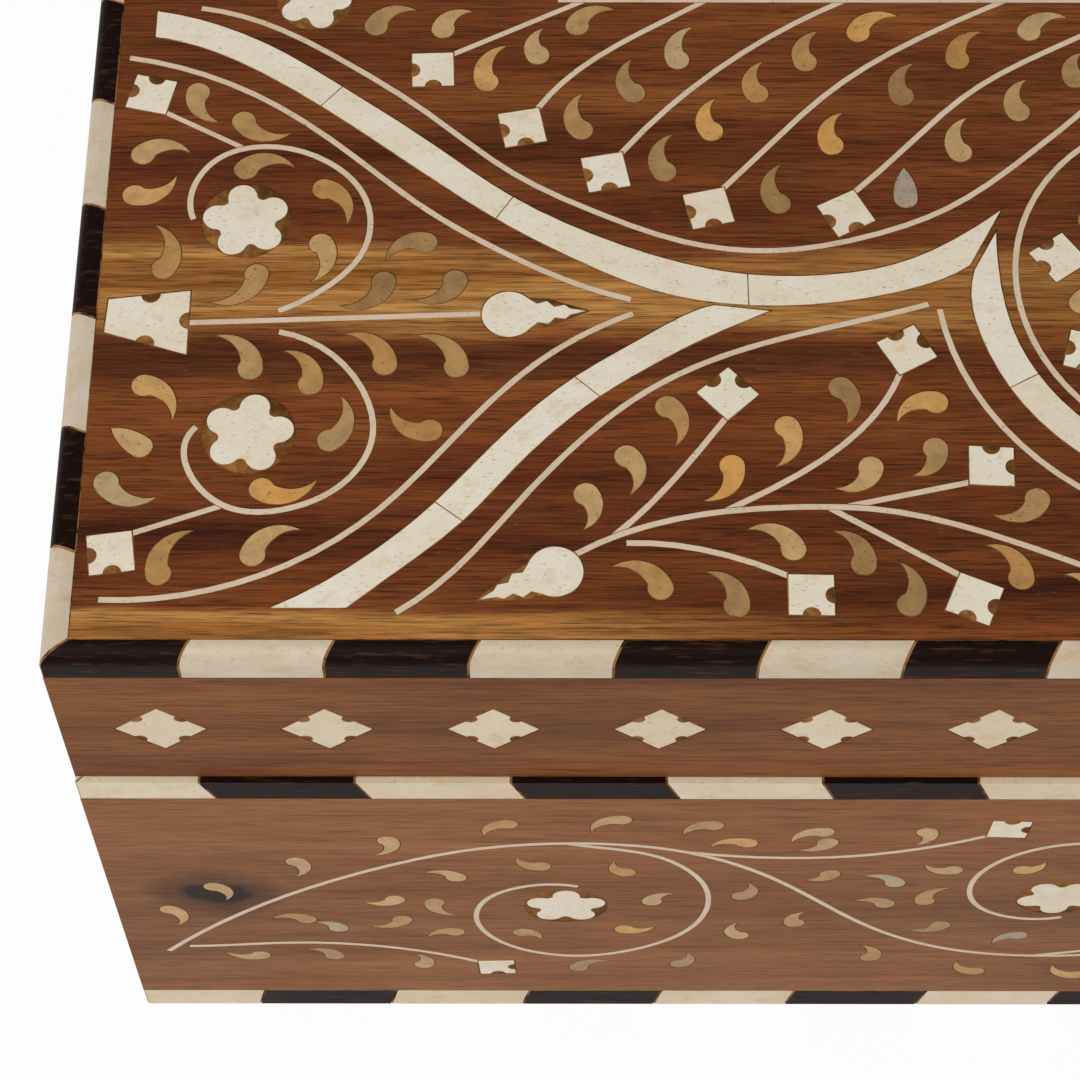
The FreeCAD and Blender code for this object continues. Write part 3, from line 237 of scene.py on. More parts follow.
def mixed(tree: bpy.types.NodeTree, factor: Any, first: Any, second: Any,
          blend: str = "MIX") -> bpy.types.NodeSocket:
    """Mixes two colours.

    Args:
        tree: the material's node tree.
        factor: a constant or a socket.
        first: the colour below, a socket or a hex colour.
        second: the colour above, a socket or a hex colour.
        blend: Blender's blend type.

    Returns:
        The colour output.
    """
    below, above = [linear(value) if isinstance(value, str) else value for value in (first, second)]
    node = add_node(tree, "ShaderNodeMix", {"data_type": "RGBA", "blend_type": blend},
                    {MIX_FACTOR: factor, MIX_FIRST: below, MIX_SECOND: above})
    return node.outputs[MIX_RESULT]


def own_place(tree: bpy.types.NodeTree) -> bpy.types.NodeSocket:
    """Reads where a point lies in its piece's own frame.

    Args:
        tree: the material's node tree.

    Returns:
        The place in metres.
    """
    return add_node(tree, "ShaderNodeTexCoord").outputs["Object"]


def own_tone(tree: bpy.types.NodeTree) -> bpy.types.NodeSocket:
    """Reads the tone of the piece that a point belongs to.

    Args:
        tree: the material's node tree.

    Returns:
        The tone from 0 to 1.
    """
    return add_node(tree, "ShaderNodeAttribute", {"attribute_name": TONE}).outputs["Fac"]


def blotches(tree: bpy.types.NodeTree, size_mm: Sequence[float], detail: float = 3.0,
             roughness: float = 0.5, bend: float = 0.0, offset: float = 0.0) -> bpy.types.NodeSocket:
    """Makes smooth noise whose blotches have a real size along each axis.

    Args:
        tree: the material's node tree.
        size_mm: the size of one blotch along X, Y and Z.
        detail: octaves of finer noise.
        roughness: strength of each finer octave.
        bend: distortion of the noise.
        offset: a shift that gives another piece of the same noise.

    Returns:
        The noise value.
    """
    scale = [1 / (MM * length) for length in size_mm]
    shift = [offset * share for share in OFFSET_SHARES]
    place = add_node(tree, "ShaderNodeMapping", inputs={
        "Vector": own_place(tree), "Location": shift, "Scale": scale})
    noise = add_node(tree, "ShaderNodeTexNoise", inputs={
        "Vector": place.outputs["Vector"], "Scale": 1.0, "Detail": detail, "Roughness": roughness,
        "Distortion": bend})
    return noise.outputs["Fac"]


def new_material(name: str) -> tuple[bpy.types.Material, bpy.types.NodeTree, bpy.types.Node]:
    """Starts a material.

    Args:
        name: the finish's name.

    Returns:
        The material, its node tree and its Principled shader.
    """
    material = bpy.data.materials.new(name)
    material.use_nodes = True
    tree = material.node_tree
    return material, tree, tree.nodes["Principled BSDF"]


def set_bump(tree: bpy.types.NodeTree, shader: bpy.types.Node, height: bpy.types.NodeSocket,
             depth_mm: float, strength: float) -> None:
    """Gives a shader relief of a real depth.

    Args:
        tree: the material's node tree.
        shader: the Principled shader.
        height: relief from 0 to 1.
        depth_mm: depth of the relief.
        strength: strength of the effect.
    """
    bump = add_node(tree, "ShaderNodeBump", inputs={
        "Height": height, "Distance": depth_mm * MM, "Strength": strength})
    tree.links.new(bump.outputs["Normal"], shader.inputs["Normal"])


@dataclass(frozen=True)
class Streak:
    """A streak of golden sapwood or dark heartwood along the grain of the lid.

    middle_mm is its row Y, half_width_mm its half width, and fade_mm the row X range in which it fades out.
    """

    middle_mm: float
    half_width_mm: float
    fade_mm: Pair
    strength: float
    colours: tuple[str, str, str] = GOLD_STREAK


@dataclass(frozen=True)
class Knot:
    """A dark knot on an upright board: its row X and Z and its half sizes."""

    x_mm: float
    z_mm: float
    half_length_mm: float
    half_height_mm: float


@dataclass(frozen=True)
class RosewoodFinish:
    """Indian rosewood, planed and hand-waxed: red-brown grain, dark vessel lines and a low sheen.

    Sizes of noise are along and across the grain.
    """

    FIGURE_MM: ClassVar[Pair] = (95.0, 6.5)
    FIGURE_SPREAD: ClassVar[float] = 0.2
    FIGURE_MIDDLE: ClassVar[float] = 0.35
    CLOUD_MM: ClassVar[Pair] = (120.0, 38.0)
    CLOUD_STOPS: ClassVar[Stops] = ((0.38, 0.62), (0.62, 1.0))
    CLOUD_SHARE: ClassVar[float] = 0.75
    LINE_MM: ClassVar[Pair] = (9.0, 0.34)
    LINE_STOPS: ClassVar[Stops] = ((0.36, 0.4), (0.55, 1.0))
    VESSEL_MM: ClassVar[Pair] = (4.6, 0.15)
    VESSEL_STOPS: ClassVar[Stops] = ((0.33, 0.3), (0.42, 1.0))
    VESSEL_DEPTH_MM: ClassVar[float] = 0.05
    VESSEL_RELIEF: ClassVar[float] = 0.5
    LINE_SHARE: ClassVar[float] = 0.9
    DUST_MM: ClassVar[Pair] = (1.6, 0.17)
    DUST_RANGE: ClassVar[Pair] = (0.7, 0.78)
    DUST_SHARE: ClassVar[float] = 0.3
    DUST_COLOUR: ClassVar[str] = "#b08a62"
    WAVER_MM: ClassVar[Pair] = (60.0, 9.0)
    WAVER_SHARE: ClassVar[float] = 1.5
    CORE_SHARE: ClassVar[float] = 0.55
    TINT_MM: ClassVar[Pair] = (70.0, 1.8)
    TINT_PLACES: ClassVar[Triple] = (0.35, 0.5, 0.66)
    KNOT_STOPS: ClassVar[Stops] = ((0.5, 0.06), (0.6, 0.42), (0.8, 0.62), (1.0, 1.0))
    KNOT_RIPPLE: ClassVar[float] = 0.5
    RIPPLE_SCALE: ClassVar[float] = 1.6
    SPECULAR: ClassVar[float] = 0.13

    name: str
    grain: Grain
    tones: WoodTones
    contrast: float
    streaks: tuple[Streak, ...] = ()
    knot: Optional[Knot] = None
    roughness: float = 0.42

    def along(self, size_mm: Pair) -> list[float]:
        """Stretches a noise along the grain.

        Args:
            size_mm: the noise's size along and across the grain.

        Returns:
            The noise's size along X, Y and Z.
        """
        length, width = size_mm
        size = [width] * 3
        size[self.grain.value] = length
        return size

    def build(self) -> bpy.types.Material:
        """Makes the material.

        Broad streaks give the figure, hair-fine lines the grain, and short dark dashes the open vessels.

        Returns:
            The finished material.
        """
        material, tree, shader = new_material(self.name)
        figure = blotches(tree, self.along(self.FIGURE_MM), detail=6, roughness=0.62, bend=0.3)
        lines = blotches(tree, self.along(self.LINE_MM), detail=3, roughness=0.65, bend=0.25, offset=3.1)
        vessels = blotches(tree, self.along(self.VESSEL_MM), detail=1, offset=7.7)
        dust = blotches(tree, self.along(self.DUST_MM), detail=1, offset=4.9)
        clouds = blotches(tree, self.along(self.CLOUD_MM), detail=2, offset=1.3)
        half = self.FIGURE_SPREAD / self.contrast
        places = [0.5 + share * half for share in (-1.0, -self.FIGURE_MIDDLE, self.FIGURE_MIDDLE, 1.0)]
        colour = ramp(tree, figure, list(zip(places, self.tones)))
        shade = ramp(tree, clouds, self.CLOUD_STOPS)
        colour = mixed(tree, self.CLOUD_SHARE, colour, shade, "MULTIPLY")
        for streak in self.streaks:
            colour = self.add_streak(tree, colour, streak)
        line_mask = ramp(tree, lines, self.LINE_STOPS)
        colour = mixed(tree, self.LINE_SHARE * self.contrast, colour, line_mask, "MULTIPLY")
        vessel_mask = ramp(tree, vessels, self.VESSEL_STOPS)
        colour = mixed(tree, self.LINE_SHARE * self.contrast, colour, vessel_mask, "MULTIPLY")
        dust_levels = (0.0, self.DUST_SHARE * self.contrast)
        dust_mask = ramp(tree, dust, list(zip(self.DUST_RANGE, dust_levels)))
        colour = mixed(tree, dust_mask, colour, self.DUST_COLOUR)
        if self.knot:
            colour = self.add_knot(tree, colour, self.knot)
        tree.links.new(colour, shader.inputs["Base Color"])
        set_inputs(shader, {"Roughness": self.roughness, "Specular IOR Level": self.SPECULAR})
        set_bump(tree, shader, vessel_mask, self.VESSEL_DEPTH_MM, self.VESSEL_RELIEF)
        return material

    def add_streak(self, tree: bpy.types.NodeTree, colour: bpy.types.NodeSocket,
                   streak: Streak) -> bpy.types.NodeSocket:
        """Blends a golden or a dark streak into the wood.

        Args:
            tree: the material's node tree.
            colour: the wood so far.
            streak: where the streak runs.

        Returns:
            The blended colour.
        """
        axes = add_node(tree, "ShaderNodeSeparateXYZ", inputs={0: own_place(tree)}).outputs
        waver = blotches(tree, self.along(self.WAVER_MM), detail=4, roughness=0.6, offset=5.2)
        reach_mm = self.WAVER_SHARE * streak.half_width_mm
        shift_mm = -(streak.middle_mm + reach_mm / 2)
        sway = calculated(tree, "MULTIPLY_ADD", waver, reach_mm * MM, shift_mm * MM)
        distance = calculated(tree, "ABSOLUTE", calculated(tree, "ADD", axes["Y"], sway))
        half = streak.half_width_mm * MM
        core = faded(tree, distance, self.CORE_SHARE * half, half, streak.strength)
        start_mm, end_mm = streak.fade_mm
        fade = faded(tree, axes["X"], start_mm * MM, end_mm * MM, 1.0)
        mask = calculated(tree, "MULTIPLY", core, fade)
        figure = blotches(tree, self.along(self.TINT_MM), detail=5, roughness=0.6, offset=9.4)
        tint = ramp(tree, figure, list(zip(self.TINT_PLACES, streak.colours)))
        return mixed(tree, mask, colour, tint)

    def add_knot(self, tree: bpy.types.NodeTree, colour: bpy.types.NodeSocket,
                 knot: Knot) -> bpy.types.NodeSocket:
        """Blends a dark knot and its halo into the wood.

        Args:
            tree: the material's node tree.
            colour: the wood so far.
            knot: where the knot lies.

        Returns:
            The blended colour.
        """
        scale = (1 / (knot.half_length_mm * MM), 0.0, 1 / (knot.half_height_mm * MM))
        shift = (-knot.x_mm * MM * scale[0], 0.0, -knot.z_mm * MM * scale[2])
        mapping = add_node(tree, "ShaderNodeMapping", inputs={
            "Vector": own_place(tree), "Location": shift, "Scale": scale})
        local = mapping.outputs["Vector"]
        ripple = add_node(tree, "ShaderNodeTexNoise", inputs={
            "Vector": local, "Scale": self.RIPPLE_SCALE, "Detail": 3.0})
        span = add_node(tree, "ShaderNodeVectorMath", {"operation": "LENGTH"}, {0: local})
        reach = calculated(tree, "MULTIPLY_ADD", ripple.outputs["Fac"], self.KNOT_RIPPLE,
                           span.outputs["Value"])
        halo = ramp(tree, reach, self.KNOT_STOPS)
        return mixed(tree, 1.0, colour, halo, "MULTIPLY")


@dataclass(frozen=True)
class BoneFinish:
    """Camel bone, sawn, sanded flush and waxed: cream with faint yellow clouds and fine brown canals."""

    CLOUD_MM: ClassVar[Triple] = (6.0, 4.0, 4.0)
    CLOUD_GAIN: ClassVar[float] = 1.6
    CLOUD_SHIFT: ClassVar[float] = -0.62
    TONE_SHARE: ClassVar[float] = 0.45
    STAIN_MM: ClassVar[Triple] = (3.2, 2.2, 2.2)
    STAIN_STOPS: ClassVar[Stops] = ((0.54, 0.0), (0.74, 0.5))
    CANAL_MM: ClassVar[Triple] = (0.55, 0.24, 0.24)
    CANAL_STOPS: ClassVar[Stops] = ((0.26, 0.6), (0.34, 0.0))
    CANAL_HEIGHT_MM: ClassVar[float] = -0.03
    CANAL_RELIEF: ClassVar[float] = 0.4
    GLOW: ClassVar[float] = 0.06
    GLOW_REACH: ClassVar[Triple] = (0.002, 0.0012, 0.0007)

    name: str
    pale: str = "#f3ead8"
    cream: str = "#e8d8ba"
    canal: str = "#bb8a50"
    stain: str = "#dbb27a"
    roughness: float = 0.38

    def build(self) -> bpy.types.Material:
        """Makes the material, each piece a little lighter or darker by its own tone.

        Returns:
            The finished material.
        """
        material, tree, shader = new_material(self.name)
        tone = own_tone(tree)
        cloud = blotches(tree, self.CLOUD_MM, detail=3, roughness=0.6)
        creamy = calculated(tree, "MULTIPLY_ADD", cloud, self.CLOUD_GAIN, self.CLOUD_SHIFT)
        blend = calculated(tree, "MULTIPLY_ADD", tone, self.TONE_SHARE, creamy, clamp=True)
        colour = mixed(tree, blend, self.pale, self.cream)
        spots = blotches(tree, self.STAIN_MM, detail=4, roughness=0.65, offset=4.3)
        colour = mixed(tree, ramp(tree, spots, self.STAIN_STOPS), colour, self.stain)
        canals = ramp(tree, blotches(tree, self.CANAL_MM, detail=1, offset=2.2), self.CANAL_STOPS)
        colour = mixed(tree, canals, colour, self.canal)
        tree.links.new(colour, shader.inputs["Base Color"])
        set_inputs(shader, {"Roughness": self.roughness, "Subsurface Weight": self.GLOW,
                            "Subsurface Radius": self.GLOW_REACH})
        set_bump(tree, shader, canals, self.CANAL_HEIGHT_MM, self.CANAL_RELIEF)
        return material


@dataclass(frozen=True)
class HornFinish:
    """Dyed bone and horn, sawn and waxed: half-clear amber, tan, orange and grey from piece to piece."""

    TONES: ClassVar[tuple[tuple[float, str], ...]] = (
        (0.0, "#a37c49"), (0.2, "#bb945f"), (0.38, "#c48a44"), (0.54, "#c09a62"), (0.68, "#d2aa72"),
        (0.79, "#dfa352"), (0.93, "#c6a878"), (1.0, "#b3a08d"))
    CLOUD_MM: ClassVar[Triple] = (2.2, 1.8, 1.8)
    CLOUD_STOPS: ClassVar[Stops] = ((0.3, 0.62), (0.62, 1.0))
    CLOUD_SHARE: ClassVar[float] = 0.7
    FLECK_MM: ClassVar[Triple] = (0.5, 0.34, 0.34)
    FLECK_STOPS: ClassVar[Stops] = ((0.27, 0.6), (0.33, 0.0))
    FLECK_COLOUR: ClassVar[str] = "#6b4520"
    GLOW: ClassVar[float] = 0.1
    GLOW_REACH: ClassVar[Triple] = (0.002, 0.0012, 0.0006)

    name: str
    roughness: float = 0.36

    def build(self) -> bpy.types.Material:
        """Makes the material from each piece's own tone.

        Returns:
            The finished material.
        """
        material, tree, shader = new_material(self.name)
        colour = ramp(tree, own_tone(tree), self.TONES)
        cloud = ramp(tree, blotches(tree, self.CLOUD_MM, detail=3, roughness=0.6), self.CLOUD_STOPS)
        colour = mixed(tree, self.CLOUD_SHARE, colour, cloud, "MULTIPLY")
        flecks = ramp(tree, blotches(tree, self.FLECK_MM, detail=1, offset=6.1), self.FLECK_STOPS)
        colour = mixed(tree, flecks, colour, self.FLECK_COLOUR)
        tree.links.new(colour, shader.inputs["Base Color"])
        set_inputs(shader, {"Roughness": self.roughness, "Subsurface Weight": self.GLOW,
                            "Subsurface Radius": self.GLOW_REACH})
        return material


@dataclass(frozen=True)
class PlainFinish:
    """A close-grained finish of two colours: a ground and the flecks in it."""

    FLECK_RELIEF: ClassVar[float] = 0.5

    name: str
    ground: str
    fleck: str
    fleck_mm: Triple
    fleck_range: Pair
    roughness: float
    metallic: float = 0.0
    relief_mm: float = 0.0
    specular: float = 0.5

    def build(self) -> bpy.types.Material:
        """Makes the material.

        Returns:
            The finished material.
        """
        material, tree, shader = new_material(self.name)
        noise = blotches(tree, self.fleck_mm, detail=3, roughness=0.6)
        flecks = ramp(tree, noise, list(zip(self.fleck_range, (0.0, 1.0))))
        tree.links.new(mixed(tree, flecks, self.ground, self.fleck), shader.inputs["Base Color"])
        set_inputs(shader, {"Roughness": self.roughness, "Metallic": self.metallic,
                            "Specular IOR Level": self.specular})
        if self.relief_mm:
            set_bump(tree, shader, flecks, self.relief_mm, self.FLECK_RELIEF)
        return material


def edges_of(triangles: np.ndarray) -> np.ndarray:
    """Lists the three edges of every triangle in turn.

    Args:
        triangles: rows of three point numbers.

    Returns:
        Rows of two point numbers, in the order in which the triangle passes them.
    """
    return np.stack([triangles, np.roll(triangles, -1, axis=1)], axis=2).reshape(-1, 2)


def closed_runs(triangles: np.ndarray) -> np.ndarray:
    """Numbers the closed pieces of a surface whose triangles are listed piece by piece.

    Each edge has a large random number, added when it is passed one way and taken off the other way, so
    the running total is nothing only where a piece has just been closed. Pieces that touch stay apart.

    Args:
        triangles: rows of three point numbers.

    Returns:
        One piece number for each triangle.
    """
    ends = edges_of(triangles)
    low, high = ends.min(axis=1), ends.max(axis=1)
    _, edge = np.unique(low * (high.max() + 1) + high, return_inverse=True)
    weight = np.random.default_rng(EDGE_SEED).integers(1, EDGE_NUMBER_LIMIT, edge.max() + 1)
    signed = weight[edge.reshape(-1)] * np.sign(ends[:, 1] - ends[:, 0])
    closed = np.cumsum(signed.reshape(-1, 3).sum(axis=1)) == 0
    return np.cumsum(closed) - closed


@dataclass
class Surface:
    """A triangle surface: points in metres as rows of XYZ, and rows of three point numbers."""

    points: np.ndarray
    triangles: np.ndarray

    @classmethod
    def of_node(cls, node: str) -> "Surface":
        """Copies a node's mesh and merges the points of each piece that lie together.

        Args:
            node: the node's name.

        Returns:
            The merged surface, placed as the node is.
        """
        source = bpy.data.objects[node]
        mesh = source.data
        mesh.calc_loop_triangles()
        points = np.empty(len(mesh.vertices) * 3)
        mesh.vertices.foreach_get("co", points)
        triangles = np.empty(len(mesh.loop_triangles) * 3, dtype=np.int32)
        mesh.loop_triangles.foreach_get("vertices", triangles)
        place = np.array(source.matrix_world)
        points = points.reshape(-1, 3) @ place[:3, :3].T + place[:3, 3]
        keys = np.round(points / MERGE_STEP).astype(np.int64)
        _, spot = np.unique(keys, axis=0, return_inverse=True)
        corners = spot.reshape(-1)[triangles].reshape(-1, 3)
        owner = closed_runs(corners)
        marks = corners * (owner.max() + 1) + owner[:, None]
        _, first, number = np.unique(marks, return_index=True, return_inverse=True)
        merged = number.reshape(-1, 3)
        wide = (merged != np.roll(merged, -1, axis=1)).all(axis=1)
        return cls(points[triangles[first]], merged[wide])

    def normals(self) -> np.ndarray:
        """Works out the normal of each triangle.

        Returns:
            Rows of unit XYZ.
        """
        corners = self.points[self.triangles]
        normal = np.cross(corners[:, 1] - corners[:, 0], corners[:, 2] - corners[:, 0])
        length = np.linalg.norm(normal, axis=1, keepdims=True)
        return normal / np.maximum(length, SHORTEST_NORMAL)

    def pieces(self) -> np.ndarray:
        """Numbers the separate pieces.

        Every point takes the lowest number among its neighbours, and then its number's number, until
        none changes.

        Returns:
            One piece number for each point.
        """
        label = np.arange(len(self.points))
        while True:
            low = label[self.triangles].min(axis=1)
            fresh = label.copy()
            for corner in self.triangles.T:
                np.minimum.at(fresh, corner, low)
            fresh = fresh[fresh]
            if np.array_equal(fresh, label):
                return np.unique(label, return_inverse=True)[1].reshape(-1)
            label = fresh

    def part(self, keep: np.ndarray) -> "Surface":
        """Takes the chosen triangles alone.

        Args:
            keep: true for each triangle that is kept.

        Returns:
            The smaller surface.
        """
        used, number = np.unique(self.triangles[keep], return_inverse=True)
        return Surface(self.points[used], number.reshape(-1, 3))

    def thickened(self, step: np.ndarray) -> "Surface":
        """Closes the surface into a solid one step thick.

        Args:
            step: the way from the surface to the solid's other side.

        Returns:
            The closed surface: this one, its copy one step away, and walls along the open edges.
        """
        count = len(self.points)
        ends = edges_of(self.triangles)
        forward = ends[:, 0] * count + ends[:, 1]
        backward = ends[:, 1] * count + ends[:, 0]
        start, end = ends[~np.isin(backward, forward)].T
        first_half = np.stack([end, start, start + count], axis=1)
        second_half = np.stack([end, start + count, end + count], axis=1)
        far_side = self.triangles[:, ::-1] + count
        triangles = np.concatenate([self.triangles, far_side, first_half, second_half])
        return Surface(np.concatenate([self.points, self.points + step]), triangles)

    def to_object(self, name: str) -> bpy.types.Object:
        """Makes an object of the surface at the row's origin.

        Args:
            name: the new piece's name.

        Returns:
            The linked object.
        """
        mesh = bpy.data.meshes.new(name)
        mesh.vertices.add(len(self.points))
        mesh.vertices.foreach_set("co", self.points.astype(np.float32).ravel())
        mesh.loops.add(self.triangles.size)
        mesh.loops.foreach_set("vertex_index", self.triangles.astype(np.int32).ravel())
        mesh.polygons.add(len(self.triangles))
        mesh.polygons.foreach_set("loop_start", np.arange(0, self.triangles.size, 3, dtype=np.int32))
        mesh.update(calc_edges=True)
        mesh.validate()
        piece = bpy.data.objects.new(name, mesh)
        bpy.context.scene.collection.objects.link(piece)
        return piece


def join_flat_faces(mesh: bpy.types.Mesh) -> None:
    """Joins the triangles that lie in one plane.

    Args:
        mesh: the mesh to change.
    """
    work = bmesh.new()
    work.from_mesh(mesh)
    bmesh.ops.dissolve_limit(work, angle_limit=math.radians(FLAT_LIMIT), verts=work.verts,
                             edges=work.edges)
    work.to_mesh(mesh)
    work.free()


def lies_free(edge: bmesh.types.BMEdge, free_way: int) -> bool:
    """Tells whether an edge runs between a level face and a side of the box.

    Args:
        edge: an edge of a strip.
        free_way: 1 where the level face is a top, -1 where it is a bottom.

    Returns:
        True for the free edge along the box.
    """
    half = [max(abs(low), abs(high)) for low, high in zip(*CAD_BOX)]
    place = edge.verts[0].co
    level = any(face.normal.z * free_way > SQUARE_LIMIT for face in edge.link_faces)
    side = any(abs(face.normal[axis]) > SQUARE_LIMIT and abs(place[axis]) > half[axis] - SIDE_SLACK
               for face in edge.link_faces for axis in (0, 1))
    return level and side


def mark_glued_edges(mesh: bpy.types.Mesh, free_way: int) -> None:
    """Gives a bevel weight to the sharp edges that touch glue, and none to the free edge along the box.

    Args:
        mesh: the strip's mesh.
        free_way: 1 where the outer top edge lies free, -1 where the outer bottom edge does.
    """
    work = bmesh.new()
    work.from_mesh(mesh)
    weight = work.edges.layers.float.new("bevel_weight_edge")
    for edge in work.edges:
        sharp = edge.calc_face_angle(0.0) > math.radians(EDGE_LIMIT)
        edge[weight] = float(sharp and not lies_free(edge, free_way))
    work.to_mesh(mesh)
    work.free()


@dataclass(frozen=True)
class ChosenTone:
    """A tone given for the piece nearest a place on the lid, in millimetres."""

    x_mm: float
    y_mm: float
    tone: float


def piece_tones(centres: np.ndarray) -> np.ndarray:
    """Gives every piece a steady tone of its own.

    The tone is the fraction left of a large sine of the piece's centre, taken to a tenth of a millimetre.

    Args:
        centres: rows of XYZ in metres.

    Returns:
        One number from 0 to 1 for each piece.
    """
    phase = np.round(centres / MM, 1) @ np.array(TONE_FACTORS)
    return np.mod(np.sin(phase) * TONE_SPREAD, 1.0)


def edge_width(node: str, slot: str) -> float:
    """Chooses how wide the glue stain on a piece's edges is.

    Args:
        node: the node's name.
        slot: its material slot.

    Returns:
        The width in millimetres: widest on border and strip pieces, narrowest on leaves.
    """
    if "border" in node or "strip" in node:
        return RUN_EDGE_MM
    return LEAF_EDGE_MM if slot == "amber_bone" else BONE_EDGE_MM


@dataclass
class InlayGroup:
    """Inlay pieces of one kind: each has its own tone, and its edges are stained by glue.

    free_way is 1 where the pieces' outer top edge lies free, -1 where their outer bottom edge does, or
    else 0.
    """

    node: str
    body: BodyName
    slot: str
    finish: bpy.types.Material
    edge: bpy.types.Material
    chosen: tuple[ChosenTone, ...] = ()
    free_way: int = 0

    def tones(self, points: np.ndarray, number: np.ndarray) -> np.ndarray:
        """Works out the tone of every point.

        Args:
            points: rows of XYZ in metres.
            number: one piece number for each point.

        Returns:
            One tone for each point, the same all over a piece.
        """
        count = np.bincount(number)
        centres = np.stack([np.bincount(number, along) / count for along in points.T], axis=1)
        tone = piece_tones(centres)
        for pick in self.chosen:
            away = np.hypot(centres[:, 0] - pick.x_mm * MM, centres[:, 1] - pick.y_mm * MM)
            tone[np.argmin(away)] = pick.tone
        return tone[number]

    def add_glue_edge(self, piece: bpy.types.Object) -> None:
        """Bevels the stained edges of the pieces, in the glue's finish.

        Args:
            piece: the dressed pieces.
        """
        bevel = piece.modifiers.new("glue_edge", "BEVEL")
        bevel.width = edge_width(self.node, self.slot) * MM
        bevel.segments = 1
        bevel.limit_method = "WEIGHT" if self.free_way else "ANGLE"
        bevel.angle_limit = math.radians(EDGE_LIMIT)
        bevel.use_clamp_overlap = False
        bevel.material = 1

    def build(self) -> None:
        """Makes the dressed pieces that stand for the node."""
        surface = Surface.of_node(self.node)
        number = surface.pieces()
        piece = surface.to_object(f"{self.node}_dressed")
        mesh = piece.data
        attribute = mesh.attributes.new(TONE, "FLOAT", "POINT")
        attribute.data.foreach_set("value", self.tones(surface.points, number).astype(np.float32))
        join_flat_faces(mesh)
        if self.free_way:
            mark_glued_edges(mesh, self.free_way)
        mesh.shade_smooth()
        mesh.set_sharp_from_angle(angle=math.radians(SMOOTH_LIMIT))
        mesh.materials.append(self.finish)
        mesh.materials.append(self.edge)
        self.add_glue_edge(piece)
        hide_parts(self.node)
        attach(piece, self.body.value)
        LOG.info("%s: %d pieces, %d faces", piece.name, number.max() + 1, len(mesh.polygons))


@dataclass
class GlueFiller:
    """Sawdust and glue that fill a board's recesses round the inlay, a hair below the board's face."""

    node: str
    body: BodyName
    outward: tuple[int, int, int]
    finish: bpy.types.Material
    inlay_depth_mm: float = 1.5
    below_mm: float = 0.05

    def build(self) -> None:
        """Makes the filler from the floors of the recesses.

        The floor's triangles face outward, one inlay depth below the board's face. They are lifted to the
        filler's level and given thickness inward.
        """
        axis = np.array(self.outward, dtype=float)
        surface = Surface.of_node(self.node)
        height = surface.points @ axis
        floor = height.max() - self.inlay_depth_mm * MM
        level = np.abs(height[surface.triangles] - floor).max(axis=1) < FLOOR_SLACK_MM * MM
        chosen = surface.part(level & (surface.normals() @ axis > SQUARE_LIMIT))
        chosen.points = chosen.points + axis * (self.inlay_depth_mm - self.below_mm) * MM
        filler = chosen.thickened(axis * (2 * self.below_mm - self.inlay_depth_mm) * MM)
        piece = filler.to_object(f"{self.node}_filler")
        piece.data.materials.append(self.finish)
        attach(piece, self.body.value)
        LOG.info("%s: %d triangles", piece.name, len(filler.triangles))


def dress(node: str, material: bpy.types.Material) -> None:
    """Gives a node its material.

    Args:
        node: the node's name.
        material: its finish.
    """
    mesh = bpy.data.objects[node].data
    mesh.materials.clear()
    mesh.materials.append(material)
    LOG.info("%s: %s", node, material.name)


class Side(Enum):
    """The four sides of the box, with the direction each faces."""

    FRONT = (0, -1, 0)
    RIGHT = (1, 0, 0)
    BACK = (0, 1, 0)
    LEFT = (-1, 0, 0)

    @property
    def label(self) -> str:
        """The side's name in the nodes."""
        return self.name.lower()

    @property
    def grain(self) -> Grain:
        """The axis that the side's board runs along."""
        return Grain.ALONG_Y if self.value[0] else Grain.ALONG_X


